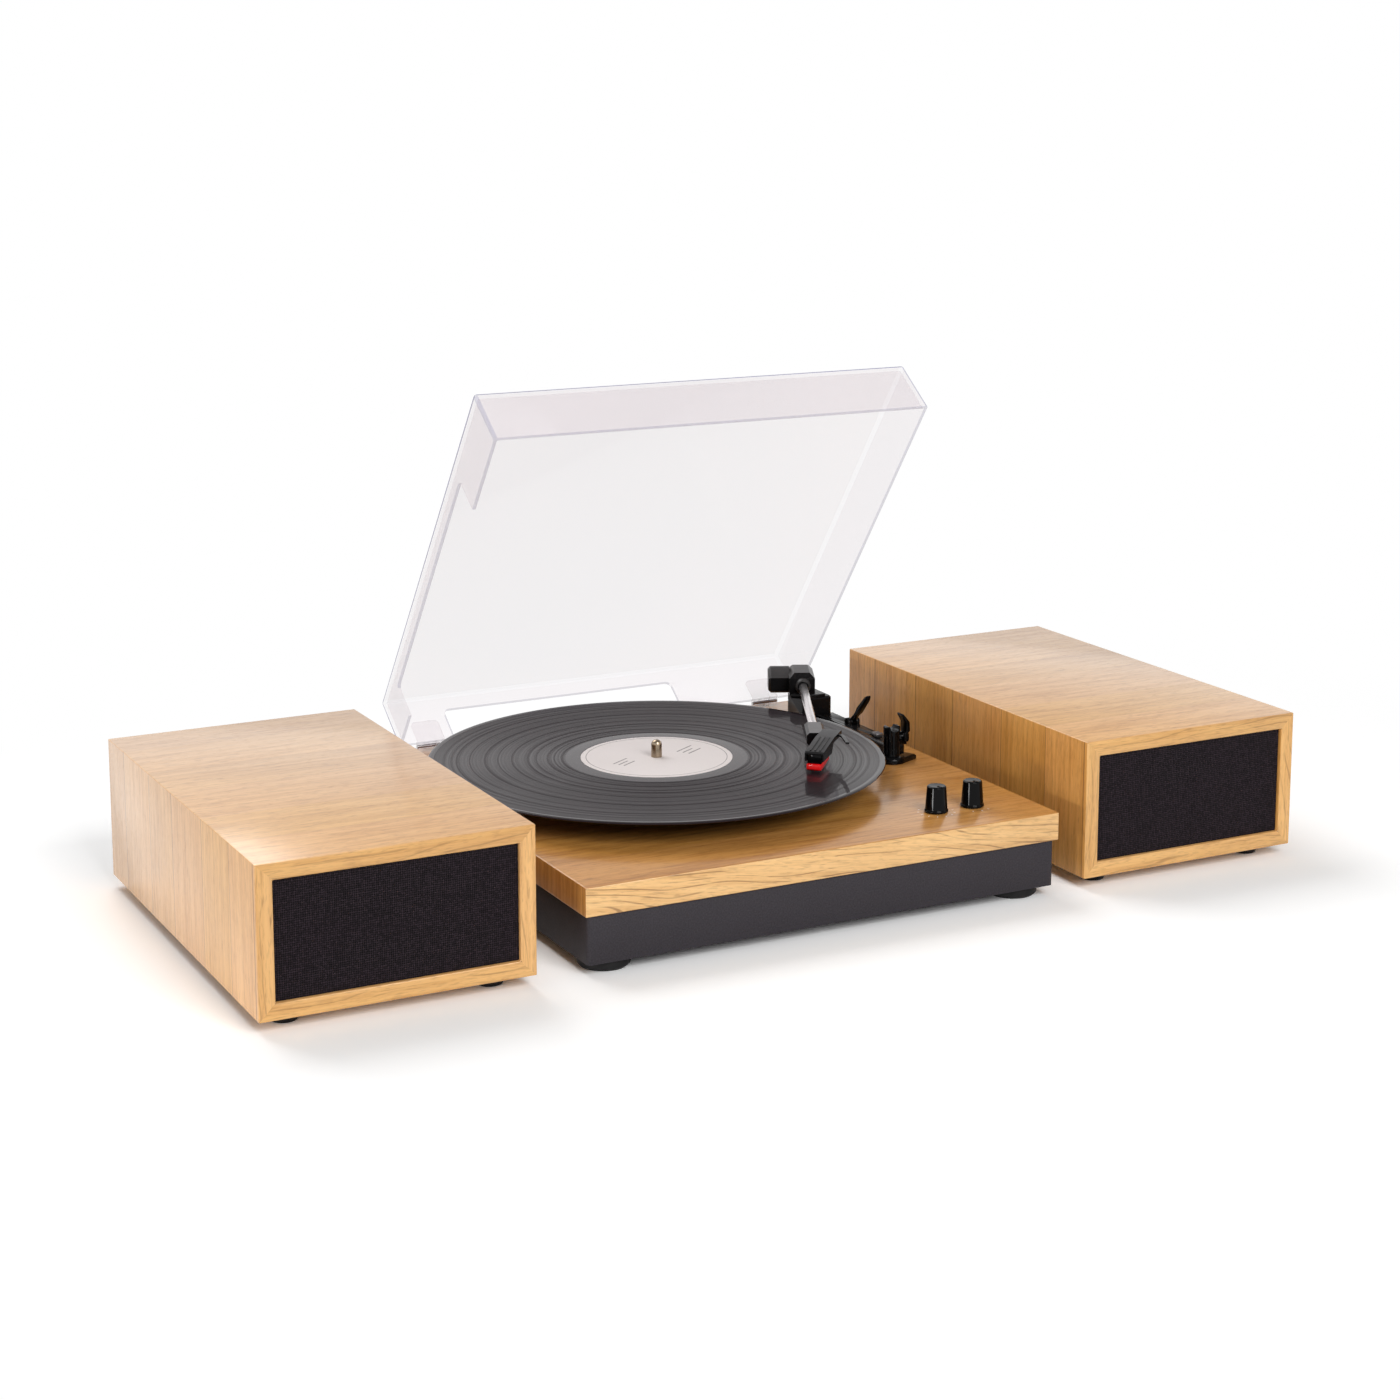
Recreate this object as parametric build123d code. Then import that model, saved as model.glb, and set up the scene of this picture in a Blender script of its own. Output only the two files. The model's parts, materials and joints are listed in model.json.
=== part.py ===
"""Belt-drive record player with a hinged clear cover and a pair of loudspeakers.

Millimetres. X to the right, Y to the rear, Z up. The origin lies on the table under the middle of the deck.
"""
from build123d import *
import os
from math import atan2, cos, degrees, hypot, radians, sin

# Deck: a veneered board on a recessed black base with four round feet
DECK_W = 330.0
DECK_D = 330.0
FOOT_H = 7.0
FOOT_R = 16.0
FOOT_INSET = 21.0
BASE_H = 30.0
BASE_RECESS = 2.0
BASE_WALL = 6.0
BOARD_T = 18.0
BASE_BOTTOM = FOOT_H
BOARD_BOTTOM = BASE_BOTTOM + BASE_H
BOARD_TOP = BOARD_BOTTOM + BOARD_T
PANEL_T = 3.0
SCREW_R = 1.5
SCREW_HEAD_R = 3.0
POST_SIDE = 16.0

# Platter, record and drive
SPINDLE_AT = (-29.0, 16.0)
SPINDLE_R = 3.55
SPINDLE_ABOVE_RECORD = 11.5
RUNNING_FIT = 0.05
PLATTER_GAP = 3.0
PLATTER_H = 10.2
PLATTER_R = 103.0
MAT_T = 2.0
RECORD_R = 150.5
RECORD_T = 1.8
GROOVE_DEPTH = 0.2
LABEL_R = 50.0
LABEL_T = 0.2
DRIVE_RING_R = 85.0
PULLEY_R = 4.0
PULLEY_ANGLE = 135.0
BELT_T = 0.6
BELT_W = 5.0
BELT_GAP = 0.35
PLATTER_BOTTOM = BOARD_TOP + PLATTER_GAP
PLATTER_TOP = PLATTER_BOTTOM + PLATTER_H
MAT_TOP = PLATTER_TOP + MAT_T
RECORD_TOP = MAT_TOP + RECORD_T
PULLEY_REACH = DRIVE_RING_R + 2 * BELT_GAP + BELT_T + PULLEY_R
PULLEY_AT = (SPINDLE_AT[0] + PULLEY_REACH * cos(radians(PULLEY_ANGLE)),
             SPINDLE_AT[1] + PULLEY_REACH * sin(radians(PULLEY_ANGLE)))
PULLEY_BOTTOM = BOARD_TOP + 3.5
BELT_BOTTOM = PULLEY_BOTTOM + 1.2
MOTOR_R = 16.0
MOTOR_SHAFT_R = 1.0
MOTOR_BOTTOM = 13.0
MOTOR_TOP = 33.0

# Dust cover, given closed; the part is drawn with it open by COVER_OPEN
COVER_W = 312.0
COVER_D = 293.5
COVER_H = 40.0
COVER_WALL = 2.5
COVER_REAR = 155.0
COVER_RIM = BOARD_TOP + 1.0
COVER_OPEN = 53.7
COVER_CORNER_R = 2.2
SIDE_CUT = (-76.0, 122.0)
REAR_CUT = (-115.0, 61.0)
CUT_H = 26.0
HINGE_X = (-131.0, 131.0)
HINGE_Y = COVER_REAR + 4.6
HINGE_Z = BOARD_TOP + 2.8
KNUCKLE_R = 2.5
HINGE_PIN_R = 1.2
KNUCKLE_HALF = 4.0
HINGE_HALF = 10.0

# Tonearm: pivot place, tube height and the stylus in the arm's own frame
PIVOT_AT = (136.5, 115.0)
STYLUS_REACH = 201.0
STYLUS_SIDE = -3.8
ARM_HEADING = 243.9
TUBE_Z = 83.5
TUBE_R = 3.0
TUBE_BORE = 2.3
TUBE_END = 142.2
HOUSING_FRONT = 19.0
HOUSING_BOTTOM = 74.9
HOUSING_TOP = 92.4
WING_SIDE = -24.0
WING_FRONT = 9.0
HEAD_OFFSET = 18.0
HEAD_W = 12.4
HEAD_REAR = -48.0
HEAD_NOSE = 1.0
HEAD_TOP = 88.0
HEAD_SKIRT = 79.0
HEAD_CEILING = 83.4
HEAD_WALL = 1.2
STYLUS_GAP = 0.35
YOKE_POST_R = 5.0
PITCH_AXLE_R = 1.5

# Tonearm base, lift, rest and switches
BASE_BLOCK = (129.0, 152.3, 97.0, 124.0)
BASE_BLOCK_TOP = 74.0
PLATE_T = 7.0
PLATE_X = (139.0, 152.5)
PLATE_Y = (-3.0, 97.0)
PLATE_TOP = BOARD_TOP + PLATE_T
LIFT_RADIUS = 30.0
LIFT_HEADING = 250.0
LIFT_SWEEP = 46.0
LIFT_GAP = 0.4
LEVER_AT = (148.8, 64.0, 63.0)
LEVER_LENGTH = 32.0
LEVER_ANGLE = 46.0
REST_AT = (134.0, -13.0)
REST_R = 5.6
REST_TOP = 79.9
CLIP_AT = (143.6, 70.0)
SWITCH_X = 145.5
SPEED_SWITCH_Y = 26.0
STOP_SWITCH_Y = 8.0
SWITCH_TRAVEL = 4.0

# Front controls
KNOB_Y = -127.6
VOLUME_X = 97.0
SELECTOR_X = 124.0
KNOB_H = 16.6
KNOB_BASE_R = 7.4
KNOB_TOP_R = 6.1
KNOB_SIDES = 18
KNOB_GAP = 0.6
CONTROL_SHAFT_R = 3.0

# Loudspeakers
SPEAKER_W = 166.0
SPEAKER_D = 296.0
SPEAKER_H = 90.0
SPEAKER_FOOT_H = 7.5
SPEAKER_FOOT_R = 8.5
SPEAKER_FOOT_INSET = 21.0
SPEAKER_FRONT = -164.0
LEFT_SPEAKER_X = -361.6
RIGHT_SPEAKER_X = 186.4
CABINET_WALL = 10.0
GRILLE_RECESS = 2.0
GRILLE_CLEAR = 0.3
CLOTH_T = 0.8
DRIVER_R = 30.0

ARM = Plane(origin=(*PIVOT_AT, 0), x_dir=(cos(radians(ARM_HEADING)), sin(radians(ARM_HEADING)), 0), z_dir=(0, 0, 1))
HEAD = ARM * Plane(origin=(STYLUS_REACH, STYLUS_SIDE, 0),
                   x_dir=(cos(radians(HEAD_OFFSET)), -sin(radians(HEAD_OFFSET)), 0), z_dir=(0, 0, 1)).location


def block(x0, x1, y0, y1, z0, z1):
    """Box between two corners."""
    return Pos(x0, y0, z0) * Box(x1 - x0, y1 - y0, z1 - z0, align=(Align.MIN, Align.MIN, Align.MIN))


def rod(x, y, z0, z1, radius):
    """Upright cylinder."""
    return Pos(x, y, z0) * Cylinder(radius, z1 - z0, align=(Align.CENTER, Align.CENTER, Align.MIN))


def rod_x(x0, x1, y, z, radius):
    """Cylinder along X."""
    return Pos(x0, y, z) * Rot(0, 90, 0) * Cylinder(radius, x1 - x0, align=(Align.CENTER, Align.CENTER, Align.MIN))


def rod_y(x, y0, y1, z, radius):
    """Cylinder along Y."""
    return Pos(x, y0, z) * Rot(-90, 0, 0) * Cylinder(radius, y1 - y0, align=(Align.CENTER, Align.CENTER, Align.MIN))


def turned(x, y, *profile):
    """Solid of revolution about an upright axis, from (radius, z) points."""
    return Pos(x, y, 0) * revolve(Plane.XZ * make_face(Polyline(*profile, close=True)), Axis.Z)


def side_profile(half_width, *profile):
    """Solid with an (x, z) outline, as wide as given to both sides of Y = 0."""
    return extrude(Plane.XZ * make_face(Polyline(*profile, close=True)), amount=half_width, both=True)


def plan_profile(z0, z1, *profile):
    """Solid with an (x, y) outline between two heights."""
    return Pos(0, 0, z0) * extrude(make_face(Polyline(*profile, close=True)), amount=z1 - z0)


def group(solids):
    """Separate like pieces kept in one node."""
    return Compound(children=list(solids))


def save(node, shape):
    shape.label = node
    export_step(shape, f"parts/{node}.step")


def foot_places(width, depth, inset):
    return [(sx * (width / 2 - inset), sy * (depth / 2 - inset)) for sx in (-1, 1) for sy in (-1, 1)]


BASE_W = DECK_W - 2 * BASE_RECESS
BASE_D = DECK_D - 2 * BASE_RECESS
SCREW_INSET = BASE_WALL + POST_SIDE / 2 - 1
SCREW_PLACES = [(sx * (BASE_W / 2 - SCREW_INSET), sy * BASE_D * 0.3) for sx in (-1, 1) for sy in (-1, 1)]
SCREW_PLACES += [(0, sy * (BASE_D / 2 - SCREW_INSET)) for sy in (-1, 1)]
JACK_Z = BASE_BOTTOM + BASE_H / 2
JACK_X = (62.0, 76.0, 96.0, 110.0)
INLET_X = 136.0
JACK_FACE = BASE_D / 2 + 1.5
AMP_CORNER = (36.0, 60.0)


def top_board():
    board = block(-DECK_W / 2, DECK_W / 2, -DECK_D / 2, DECK_D / 2, BOARD_BOTTOM, BOARD_TOP)
    board = chamfer(board.edges().group_by(Axis.Z)[-1], 0.8)
    board = chamfer(board.edges().group_by(Axis.Z)[0], 0.5)
    board -= rod(*SPINDLE_AT, BOARD_BOTTOM, BOARD_TOP, 9.2)
    board -= rod(*PULLEY_AT, BOARD_BOTTOM, BOARD_TOP, 7.0)
    board -= rod(*PIVOT_AT, BOARD_BOTTOM, BOARD_TOP, 4.0)
    for x in (VOLUME_X, SELECTOR_X):
        board -= rod(x, KNOB_Y, BOARD_BOTTOM, BOARD_TOP, 4.5)
    for y in (SPEED_SWITCH_Y, STOP_SWITCH_Y):
        board -= block(SWITCH_X - 3, SWITCH_X + 3, y - 7, y + 7, BOARD_BOTTOM, BOARD_TOP)
    return board


def base_box():
    """Four walls with screw posts along them and a window for the rear sockets."""
    half_w, half_d = BASE_W / 2, BASE_D / 2
    walls = block(-half_w, half_w, -half_d, half_d, BASE_BOTTOM, BOARD_BOTTOM)
    walls = fillet(walls.edges().filter_by(Axis.Z), 3.0)
    inside = block(-half_w + BASE_WALL, half_w - BASE_WALL, -half_d + BASE_WALL, half_d - BASE_WALL,
                   BASE_BOTTOM, BOARD_BOTTOM)
    walls -= inside
    for x, y in SCREW_PLACES:
        walls += block(x - POST_SIDE / 2, x + POST_SIDE / 2, y - POST_SIDE / 2, y + POST_SIDE / 2,
                       BASE_BOTTOM + PANEL_T, BOARD_BOTTOM) & (inside + block(
                           -half_w + 1, half_w - 1, -half_d + 1, half_d - 1, BASE_BOTTOM + PANEL_T, BOARD_BOTTOM))
    for x, y in SCREW_PLACES:
        walls -= rod(x, y, BASE_BOTTOM, BASE_BOTTOM + 14, SCREW_R)
    walls -= block(JACK_X[0] - 12, INLET_X + 12, half_d - BASE_WALL, half_d, JACK_Z - 9, JACK_Z + 9)
    return walls


def bottom_panel():
    half_w = BASE_W / 2 - BASE_WALL - 0.2
    half_d = BASE_D / 2 - BASE_WALL - 0.2
    panel = block(-half_w, half_w, -half_d, half_d, BASE_BOTTOM, BASE_BOTTOM + PANEL_T)
    for x, y in SCREW_PLACES:
        panel -= rod(x, y, BASE_BOTTOM, BASE_BOTTOM + PANEL_T, SCREW_R)
    for row in range(5):
        panel -= block(40, 80, -12 + 8 * row, -8 + 8 * row, BASE_BOTTOM, BASE_BOTTOM + PANEL_T)
    return panel


def round_foot(x, y, radius, height):
    """Moulded foot with a rounded sole and a hollow under its middle."""
    foot = turned(x, y, (0, 1.2), (radius * 0.55, 1.2), (radius * 0.62, 0), (radius * 0.9, 0),
                  (radius, 1.6), (radius, height - 1.6), (radius * 0.94, height), (0, height))
    return foot


def deck_feet():
    return group(round_foot(x, y, FOOT_R, FOOT_H) for x, y in foot_places(DECK_W, DECK_D, FOOT_INSET))


def case_screws():
    head = BASE_BOTTOM - 1.6
    return group(turned(x, y, (0, head), (SCREW_HEAD_R - 0.8, head), (SCREW_HEAD_R, head + 0.7),
                        (SCREW_HEAD_R, BASE_BOTTOM), (SCREW_R, BASE_BOTTOM), (SCREW_R, BASE_BOTTOM + 12),
                        (0, BASE_BOTTOM + 13.5)) for x, y in SCREW_PLACES)


def bearing_bush():
    """Flanged bush in the board, closed below the spindle's foot."""
    bore = SPINDLE_R + RUNNING_FIT
    return turned(*SPINDLE_AT, (0, 20), (7, 20), (9, 22), (9, BOARD_TOP), (14, BOARD_TOP), (14, BOARD_TOP + 1.2),
                  (8, BOARD_TOP + 1.8), (bore, BOARD_TOP + 1.8), (bore, 22.5), (0, 22.5))


def motor_body():
    can = turned(*PULLEY_AT, (0, MOTOR_BOTTOM), (MOTOR_R - 2, MOTOR_BOTTOM), (MOTOR_R, MOTOR_BOTTOM + 2),
                 (MOTOR_R, MOTOR_TOP - 1), (MOTOR_R - 1, MOTOR_TOP), (5, MOTOR_TOP), (5, BOARD_BOTTOM),
                 (0, BOARD_BOTTOM))
    return can - rod(*PULLEY_AT, MOTOR_BOTTOM + 4, BOARD_BOTTOM, MOTOR_SHAFT_R + RUNNING_FIT)


def motor_bracket():
    """Steel plate that hangs the motor from the board, with turned-down stiffening edges."""
    x, y = PULLEY_AT
    plate = block(x - 26, x + 26, y - 20, y + 20, MOTOR_TOP, MOTOR_TOP + 1.5)
    plate = fillet(plate.edges().filter_by(Axis.Z), 5.0)
    for side in (-1, 1):
        plate += block(x - 20, x + 20, y + side * 19.2 - 0.8, y + side * 19.2 + 0.8, MOTOR_TOP - 5, MOTOR_TOP)
        plate += rod(x + side * 21, y, MOTOR_TOP + 1.5, BOARD_BOTTOM, 3.5)
    return plate - rod(x, y, MOTOR_TOP, BOARD_BOTTOM, 5.1)


def drive_belt():
    """Flat belt round the platter's drive ring and the motor pulley."""
    def loop(margin):
        ring = Circle(DRIVE_RING_R + margin)
        pulley = Pos(PULLEY_REACH, 0) * Circle(PULLEY_R + margin)
        return make_hull(ring.edges() + pulley.edges())
    band = loop(BELT_GAP + BELT_T) - loop(BELT_GAP)
    return Pos(*SPINDLE_AT, BELT_BOTTOM) * Rot(0, 0, PULLEY_ANGLE) * extrude(band, amount=BELT_W)


def amp_board():
    """Circuit board on stand-offs, with its heat sink fins and capacitors."""
    floor = BASE_BOTTOM + PANEL_T
    low = floor + 8
    high = low + 1.6
    board = block(0, 96, 0, 66, low, high)
    for x in (4, 92):
        for y in (4, 62):
            board += rod(x, y, floor, low, 3.0)
    board += block(12, 42, 36, 40, high, high + 12)
    for fin in range(6):
        board += block(12 + 5.5 * fin, 14.5 + 5.5 * fin, 40, 48, high, high + 12)
    for x in (54, 68, 82):
        board += rod(x, 20, high, high + 10, 5.0)
    return Pos(*AMP_CORNER, 0) * board


def jack_panel():
    panel = block(JACK_X[0] - 15, INLET_X + 15, BASE_D / 2, JACK_FACE, JACK_Z - 12, JACK_Z + 12)
    panel = fillet(panel.edges().filter_by(Axis.Y), 3.0)
    for x in JACK_X:
        panel -= rod_y(x, BASE_D / 2, JACK_FACE, JACK_Z, 3.4)
    return panel - rod_y(INLET_X, BASE_D / 2, JACK_FACE, JACK_Z, 4.2)


def rear_jacks():
    """Phono sockets: two for the line output and two for the loudspeakers."""
    def jack(x):
        body = rod_y(x, BASE_D / 2 - 8, JACK_FACE, JACK_Z, 3.35)
        body += rod_y(x, JACK_FACE, JACK_FACE + 1.5, JACK_Z, 6.0)
        body += rod_y(x, JACK_FACE + 1.5, JACK_FACE + 10.5, JACK_Z, 4.15)
        return body - rod_y(x, JACK_FACE - 2, JACK_FACE + 10.5, JACK_Z, 1.7)
    return group(jack(x) for x in JACK_X)


def power_inlet():
    body = rod_y(INLET_X, BASE_D / 2 - 10, JACK_FACE + 1.5, JACK_Z, 4.15)
    body += rod_y(INLET_X, JACK_FACE, JACK_FACE + 1.5, JACK_Z, 6.0)
    body -= rod_y(INLET_X, BASE_D / 2 - 7, JACK_FACE + 1.5, JACK_Z, 2.75)
    return body + rod_y(INLET_X, BASE_D / 2 - 10, JACK_FACE, JACK_Z, 1.0)


def control_pots():
    """Rotary controls hung under the board, each with a threaded neck and a bore for its shaft."""
    def pot(x):
        body = block(x - 8.5, x + 8.5, KNOB_Y - 8.5, KNOB_Y + 8.5, BOARD_BOTTOM - 11, BOARD_BOTTOM - 1.5)
        body = fillet(body.edges().filter_by(Axis.Z), 2.0)
        body += rod(x, KNOB_Y, BOARD_BOTTOM - 1.5, BOARD_BOTTOM, 6.5)
        body += rod(x, KNOB_Y, BOARD_BOTTOM, BOARD_BOTTOM + 8, 4.4)
        return body - rod(x, KNOB_Y, BOARD_BOTTOM - 8, BOARD_BOTTOM + 8, CONTROL_SHAFT_R + RUNNING_FIT)
    return group(pot(x) for x in (VOLUME_X, SELECTOR_X))


def platter():
    """Moulded platter: thin web, outer skirt, inner ring for the belt and a hub on the spindle."""
    web = PLATTER_TOP - 2.2
    ring_foot = PLATTER_BOTTOM + 0.8
    return turned(*SPINDLE_AT, (SPINDLE_R, PLATTER_BOTTOM - 0.6), (12, PLATTER_BOTTOM - 0.6), (14, web),
                  (DRIVE_RING_R - 4, web), (DRIVE_RING_R - 3, ring_foot), (DRIVE_RING_R, ring_foot),
                  (DRIVE_RING_R, web), (PLATTER_R - 6, web), (PLATTER_R - 6, PLATTER_BOTTOM),
                  (PLATTER_R - 1, PLATTER_BOTTOM), (PLATTER_R, PLATTER_BOTTOM + 1),
                  (PLATTER_R, PLATTER_TOP - 1), (PLATTER_R - 1, PLATTER_TOP), (SPINDLE_R, PLATTER_TOP))


def platter_mat():
    return turned(*SPINDLE_AT, (SPINDLE_R + 0.2, PLATTER_TOP), (PLATTER_R - 2, PLATTER_TOP),
                  (PLATTER_R - 2, MAT_TOP - 0.4), (PLATTER_R - 2.4, MAT_TOP), (SPINDLE_R + 0.2, MAT_TOP))


def spindle():
    top = RECORD_TOP + SPINDLE_ABOVE_RECORD
    profile = [(0, 22.8), (SPINDLE_R - 0.8, 22.8), (SPINDLE_R, 24), (SPINDLE_R, top - 3.2), (SPINDLE_R - 0.5, top - 1.4),
               (SPINDLE_R - 1.7, top - 0.3), (0, top)]
    return turned(*SPINDLE_AT, *profile)


def record():
    """Twelve-inch disc: raised edge bead, thinner grooved band, dead wax and a seat for the label."""
    groove = RECORD_TOP - GROOVE_DEPTH
    return turned(*SPINDLE_AT, (SPINDLE_R + 0.1, MAT_TOP), (PLATTER_R, MAT_TOP), (PLATTER_R + 2, MAT_TOP + 0.2),
                  (RECORD_R - 4, MAT_TOP + 0.2), (RECORD_R - 1.5, MAT_TOP), (RECORD_R - 0.5, MAT_TOP + 0.2),
                  (RECORD_R, MAT_TOP + RECORD_T / 2), (RECORD_R - 0.5, RECORD_TOP - 0.2), (RECORD_R - 1.5, RECORD_TOP),
                  (RECORD_R - 4, groove), (LABEL_R + 9, groove), (LABEL_R + 5, RECORD_TOP), (LABEL_R, RECORD_TOP),
                  (LABEL_R, RECORD_TOP - LABEL_T), (SPINDLE_R + 0.1, RECORD_TOP - LABEL_T))


def record_label():
    return turned(*SPINDLE_AT, (SPINDLE_R + 0.1, RECORD_TOP - LABEL_T), (LABEL_R, RECORD_TOP - LABEL_T),
                  (LABEL_R, RECORD_TOP), (SPINDLE_R + 0.1, RECORD_TOP))


def motor_pulley():
    """Brass pulley with a flange above and below the crowned belt track."""
    low, high = PULLEY_BOTTOM, PULLEY_BOTTOM + 7.2
    return turned(*PULLEY_AT, (MOTOR_SHAFT_R, low), (PULLEY_R + 0.8, low), (PULLEY_R + 0.8, low + 0.7),
                  (PULLEY_R - 0.1, low + 1.0), (PULLEY_R, low + 3.6), (PULLEY_R - 0.1, high - 1.0),
                  (PULLEY_R + 0.8, high - 0.7), (PULLEY_R + 0.8, high), (MOTOR_SHAFT_R, high))


def motor_shaft():
    return rod(*PULLEY_AT, MOTOR_BOTTOM + 4.5, PULLEY_BOTTOM + 7.2, MOTOR_SHAFT_R)


def opened(shape):
    """Turn a closed cover piece about the hinge line to the angle at which the part is drawn."""
    return Pos(0, HINGE_Y, HINGE_Z) * Rot(-COVER_OPEN, 0, 0) * Pos(0, -HINGE_Y, -HINGE_Z) * shape


def dust_cover():
    """Clear moulded hood, cut away at the left and rear where the record passes the walls."""
    front = COVER_REAR - COVER_D
    top = COVER_RIM + COVER_H
    half = COVER_W / 2
    hood = block(-half, half, front, COVER_REAR, COVER_RIM, top)
    hood = fillet(hood.edges().filter_by(Axis.Z) + hood.edges().group_by(Axis.Z)[-1], COVER_CORNER_R)
    hood -= block(-half + COVER_WALL, half - COVER_WALL, front + COVER_WALL, COVER_REAR - COVER_WALL,
                  COVER_RIM, top - COVER_WALL)
    side_cut = block(-half, -half + COVER_WALL, *SIDE_CUT, COVER_RIM, COVER_RIM + CUT_H)
    hood -= fillet(side_cut.edges().filter_by(Axis.X).group_by(Axis.Z)[-1], 4.0)
    rear_cut = block(*REAR_CUT, COVER_REAR - COVER_WALL, COVER_REAR, COVER_RIM, COVER_RIM + CUT_H)
    hood -= fillet(rear_cut.edges().filter_by(Axis.Y).group_by(Axis.Z)[-1], 4.0)
    return opened(hood)


def hinge_arms():
    """Clear hinge leaves bonded to the cover's rear wall, each with two knuckles."""
    def leaf(x):
        plate = block(x - HINGE_HALF, x + HINGE_HALF, COVER_REAR, COVER_REAR + 1.8, HINGE_Z + 0.6, HINGE_Z + 18)
        plate = fillet(plate.edges().filter_by(Axis.Y).group_by(Axis.Z)[-1], 3.0)
        for x0, x1 in ((x - HINGE_HALF, x - KNUCKLE_HALF - 0.4), (x + KNUCKLE_HALF + 0.4, x + HINGE_HALF)):
            plate += rod_x(x0, x1, HINGE_Y, HINGE_Z, KNUCKLE_R)
            plate += block(x0, x1, COVER_REAR, HINGE_Y, HINGE_Z + 0.6, HINGE_Z + KNUCKLE_R)
        return plate - rod_x(x - HINGE_HALF, x + HINGE_HALF, HINGE_Y, HINGE_Z, HINGE_PIN_R)
    return group(opened(leaf(x)) for x in HINGE_X)


def hinge_pins():
    return group(rod_x(x - HINGE_HALF, x + HINGE_HALF, HINGE_Y, HINGE_Z, HINGE_PIN_R) for x in HINGE_X)


def hinge_brackets():
    """Clear brackets on the board's rear edge, each with the middle knuckle of its hinge."""
    def bracket(x):
        seat = block(x - HINGE_HALF - 4, x + HINGE_HALF + 4, DECK_D / 2, DECK_D / 2 + 2.4, BOARD_TOP - 14, BOARD_TOP)
        seat = fillet(seat.edges().filter_by(Axis.Y).group_by(Axis.Z)[0], 3.0)
        seat += block(x - KNUCKLE_HALF, x + KNUCKLE_HALF, HINGE_Y - 1.5, DECK_D / 2 + 2.4, BOARD_TOP, BOARD_TOP + 1.8)
        seat += rod_x(x - KNUCKLE_HALF, x + KNUCKLE_HALF, HINGE_Y, HINGE_Z, KNUCKLE_R)
        return seat - rod_x(x - KNUCKLE_HALF, x + KNUCKLE_HALF, HINGE_Y, HINGE_Z, HINGE_PIN_R + RUNNING_FIT)
    return group(bracket(x) for x in HINGE_X)


def tonearm_base():
    """Turret block that carries the arm, with a foot in front that guides the lift's post."""
    x0, x1, y0, y1 = BASE_BLOCK
    turret = block(x0, x1, y0, y1, BOARD_TOP, BASE_BLOCK_TOP)
    turret = fillet(turret.edges().filter_by(Axis.Z), 4.0)
    turret = chamfer(turret.edges().group_by(Axis.Z)[-1], 1.2)
    lift_x, lift_y = lift_post_at()
    turret += block(lift_x - 5, x0 + 7, lift_y, y0 + 5, BOARD_TOP, BOARD_TOP + 6)
    turret += rod(lift_x, lift_y, BOARD_TOP, BOARD_TOP + 12, 5.0)
    turret -= rod(lift_x, lift_y, BOARD_TOP + 2, BOARD_TOP + 12, 2.0 + RUNNING_FIT)
    return turret - rod(*PIVOT_AT, BOARD_TOP + 3, BASE_BLOCK_TOP, YOKE_POST_R + RUNNING_FIT)


def lift_post_at():
    return (PIVOT_AT[0] + LIFT_RADIUS * cos(radians(LIFT_HEADING)),
            PIVOT_AT[1] + LIFT_RADIUS * sin(radians(LIFT_HEADING)))


def lift_platform():
    """Curved bar under the tube that raises the arm at any swing, on a sliding post."""
    top = TUBE_Z - TUBE_R - LIFT_GAP
    start = LIFT_HEADING - LIFT_SWEEP / 2
    ring = Circle(LIFT_RADIUS + 1.5) - Circle(LIFT_RADIUS - 1.5)
    wedge = make_face(Polyline((0, 0), *[(60 * cos(radians(start + LIFT_SWEEP * k / 4)),
                                          60 * sin(radians(start + LIFT_SWEEP * k / 4))) for k in range(5)],
                               close=True))
    bar = Pos(*PIVOT_AT, top - 2.6) * extrude(ring & wedge, amount=2.6)
    return bar + rod(*lift_post_at(), BOARD_TOP + 4, top - 2.6, 2.0)


def tonearm_plate():
    """Long trim plate beside the record, with slots for two switches and ears for the cue lever."""
    x0, x1 = PLATE_X
    y0, y1 = PLATE_Y
    plate = block(x0, x1, y0, y1, BOARD_TOP, PLATE_TOP)
    plate = fillet(plate.edges().filter_by(Axis.Z).group_by(Axis.Y)[0], 5.0)
    plate = chamfer(plate.edges().group_by(Axis.Z)[-1], 0.8)
    for y in (SPEED_SWITCH_Y, STOP_SWITCH_Y):
        plate -= block(SWITCH_X - 2, SWITCH_X + 2, y - 6, y + 6, BOARD_TOP, PLATE_TOP)
    lever_x, lever_y, lever_z = LEVER_AT
    for x in (lever_x - 4.4, lever_x + 2.2):
        ear = block(x, x + 2.2, lever_y - 3.2, lever_y + 3.2, BOARD_TOP + 1, lever_z)
        ear += rod_x(x, x + 2.2, lever_y, lever_z, 3.2)
        plate += ear
    plate -= block(lever_x - 2.2, lever_x + 2.2, lever_y - 5, lever_y + 5, BOARD_TOP + 3, lever_z + 4)
    return plate - rod_x(lever_x - 4.4, lever_x + 4.4, lever_y, lever_z, 1.5 + RUNNING_FIT)


def cue_lever():
    """Lever with a waisted stem and a wider finger pad, turning on stub axles in the plate's ears."""
    x, y, z = LEVER_AT
    hub = rod_x(x - 1.9, x + 1.9, y, z, 2.8) + rod_x(x - 4.4, x + 4.4, y, z, 1.5)
    stem = side_profile(1.5, (0, -1.8), (10, -1.3), (14, -2.3), (LEVER_LENGTH - 3, -1.6), (LEVER_LENGTH, -0.4),
                        (LEVER_LENGTH, 0.6), (LEVER_LENGTH - 3, 1.6), (14, 2.3), (10, 1.3), (0, 1.8))
    stem = Pos(x, y, z) * Rot(0, 0, -90) * Rot(0, -LEVER_ANGLE, 0) * stem
    return hub + stem


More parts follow.
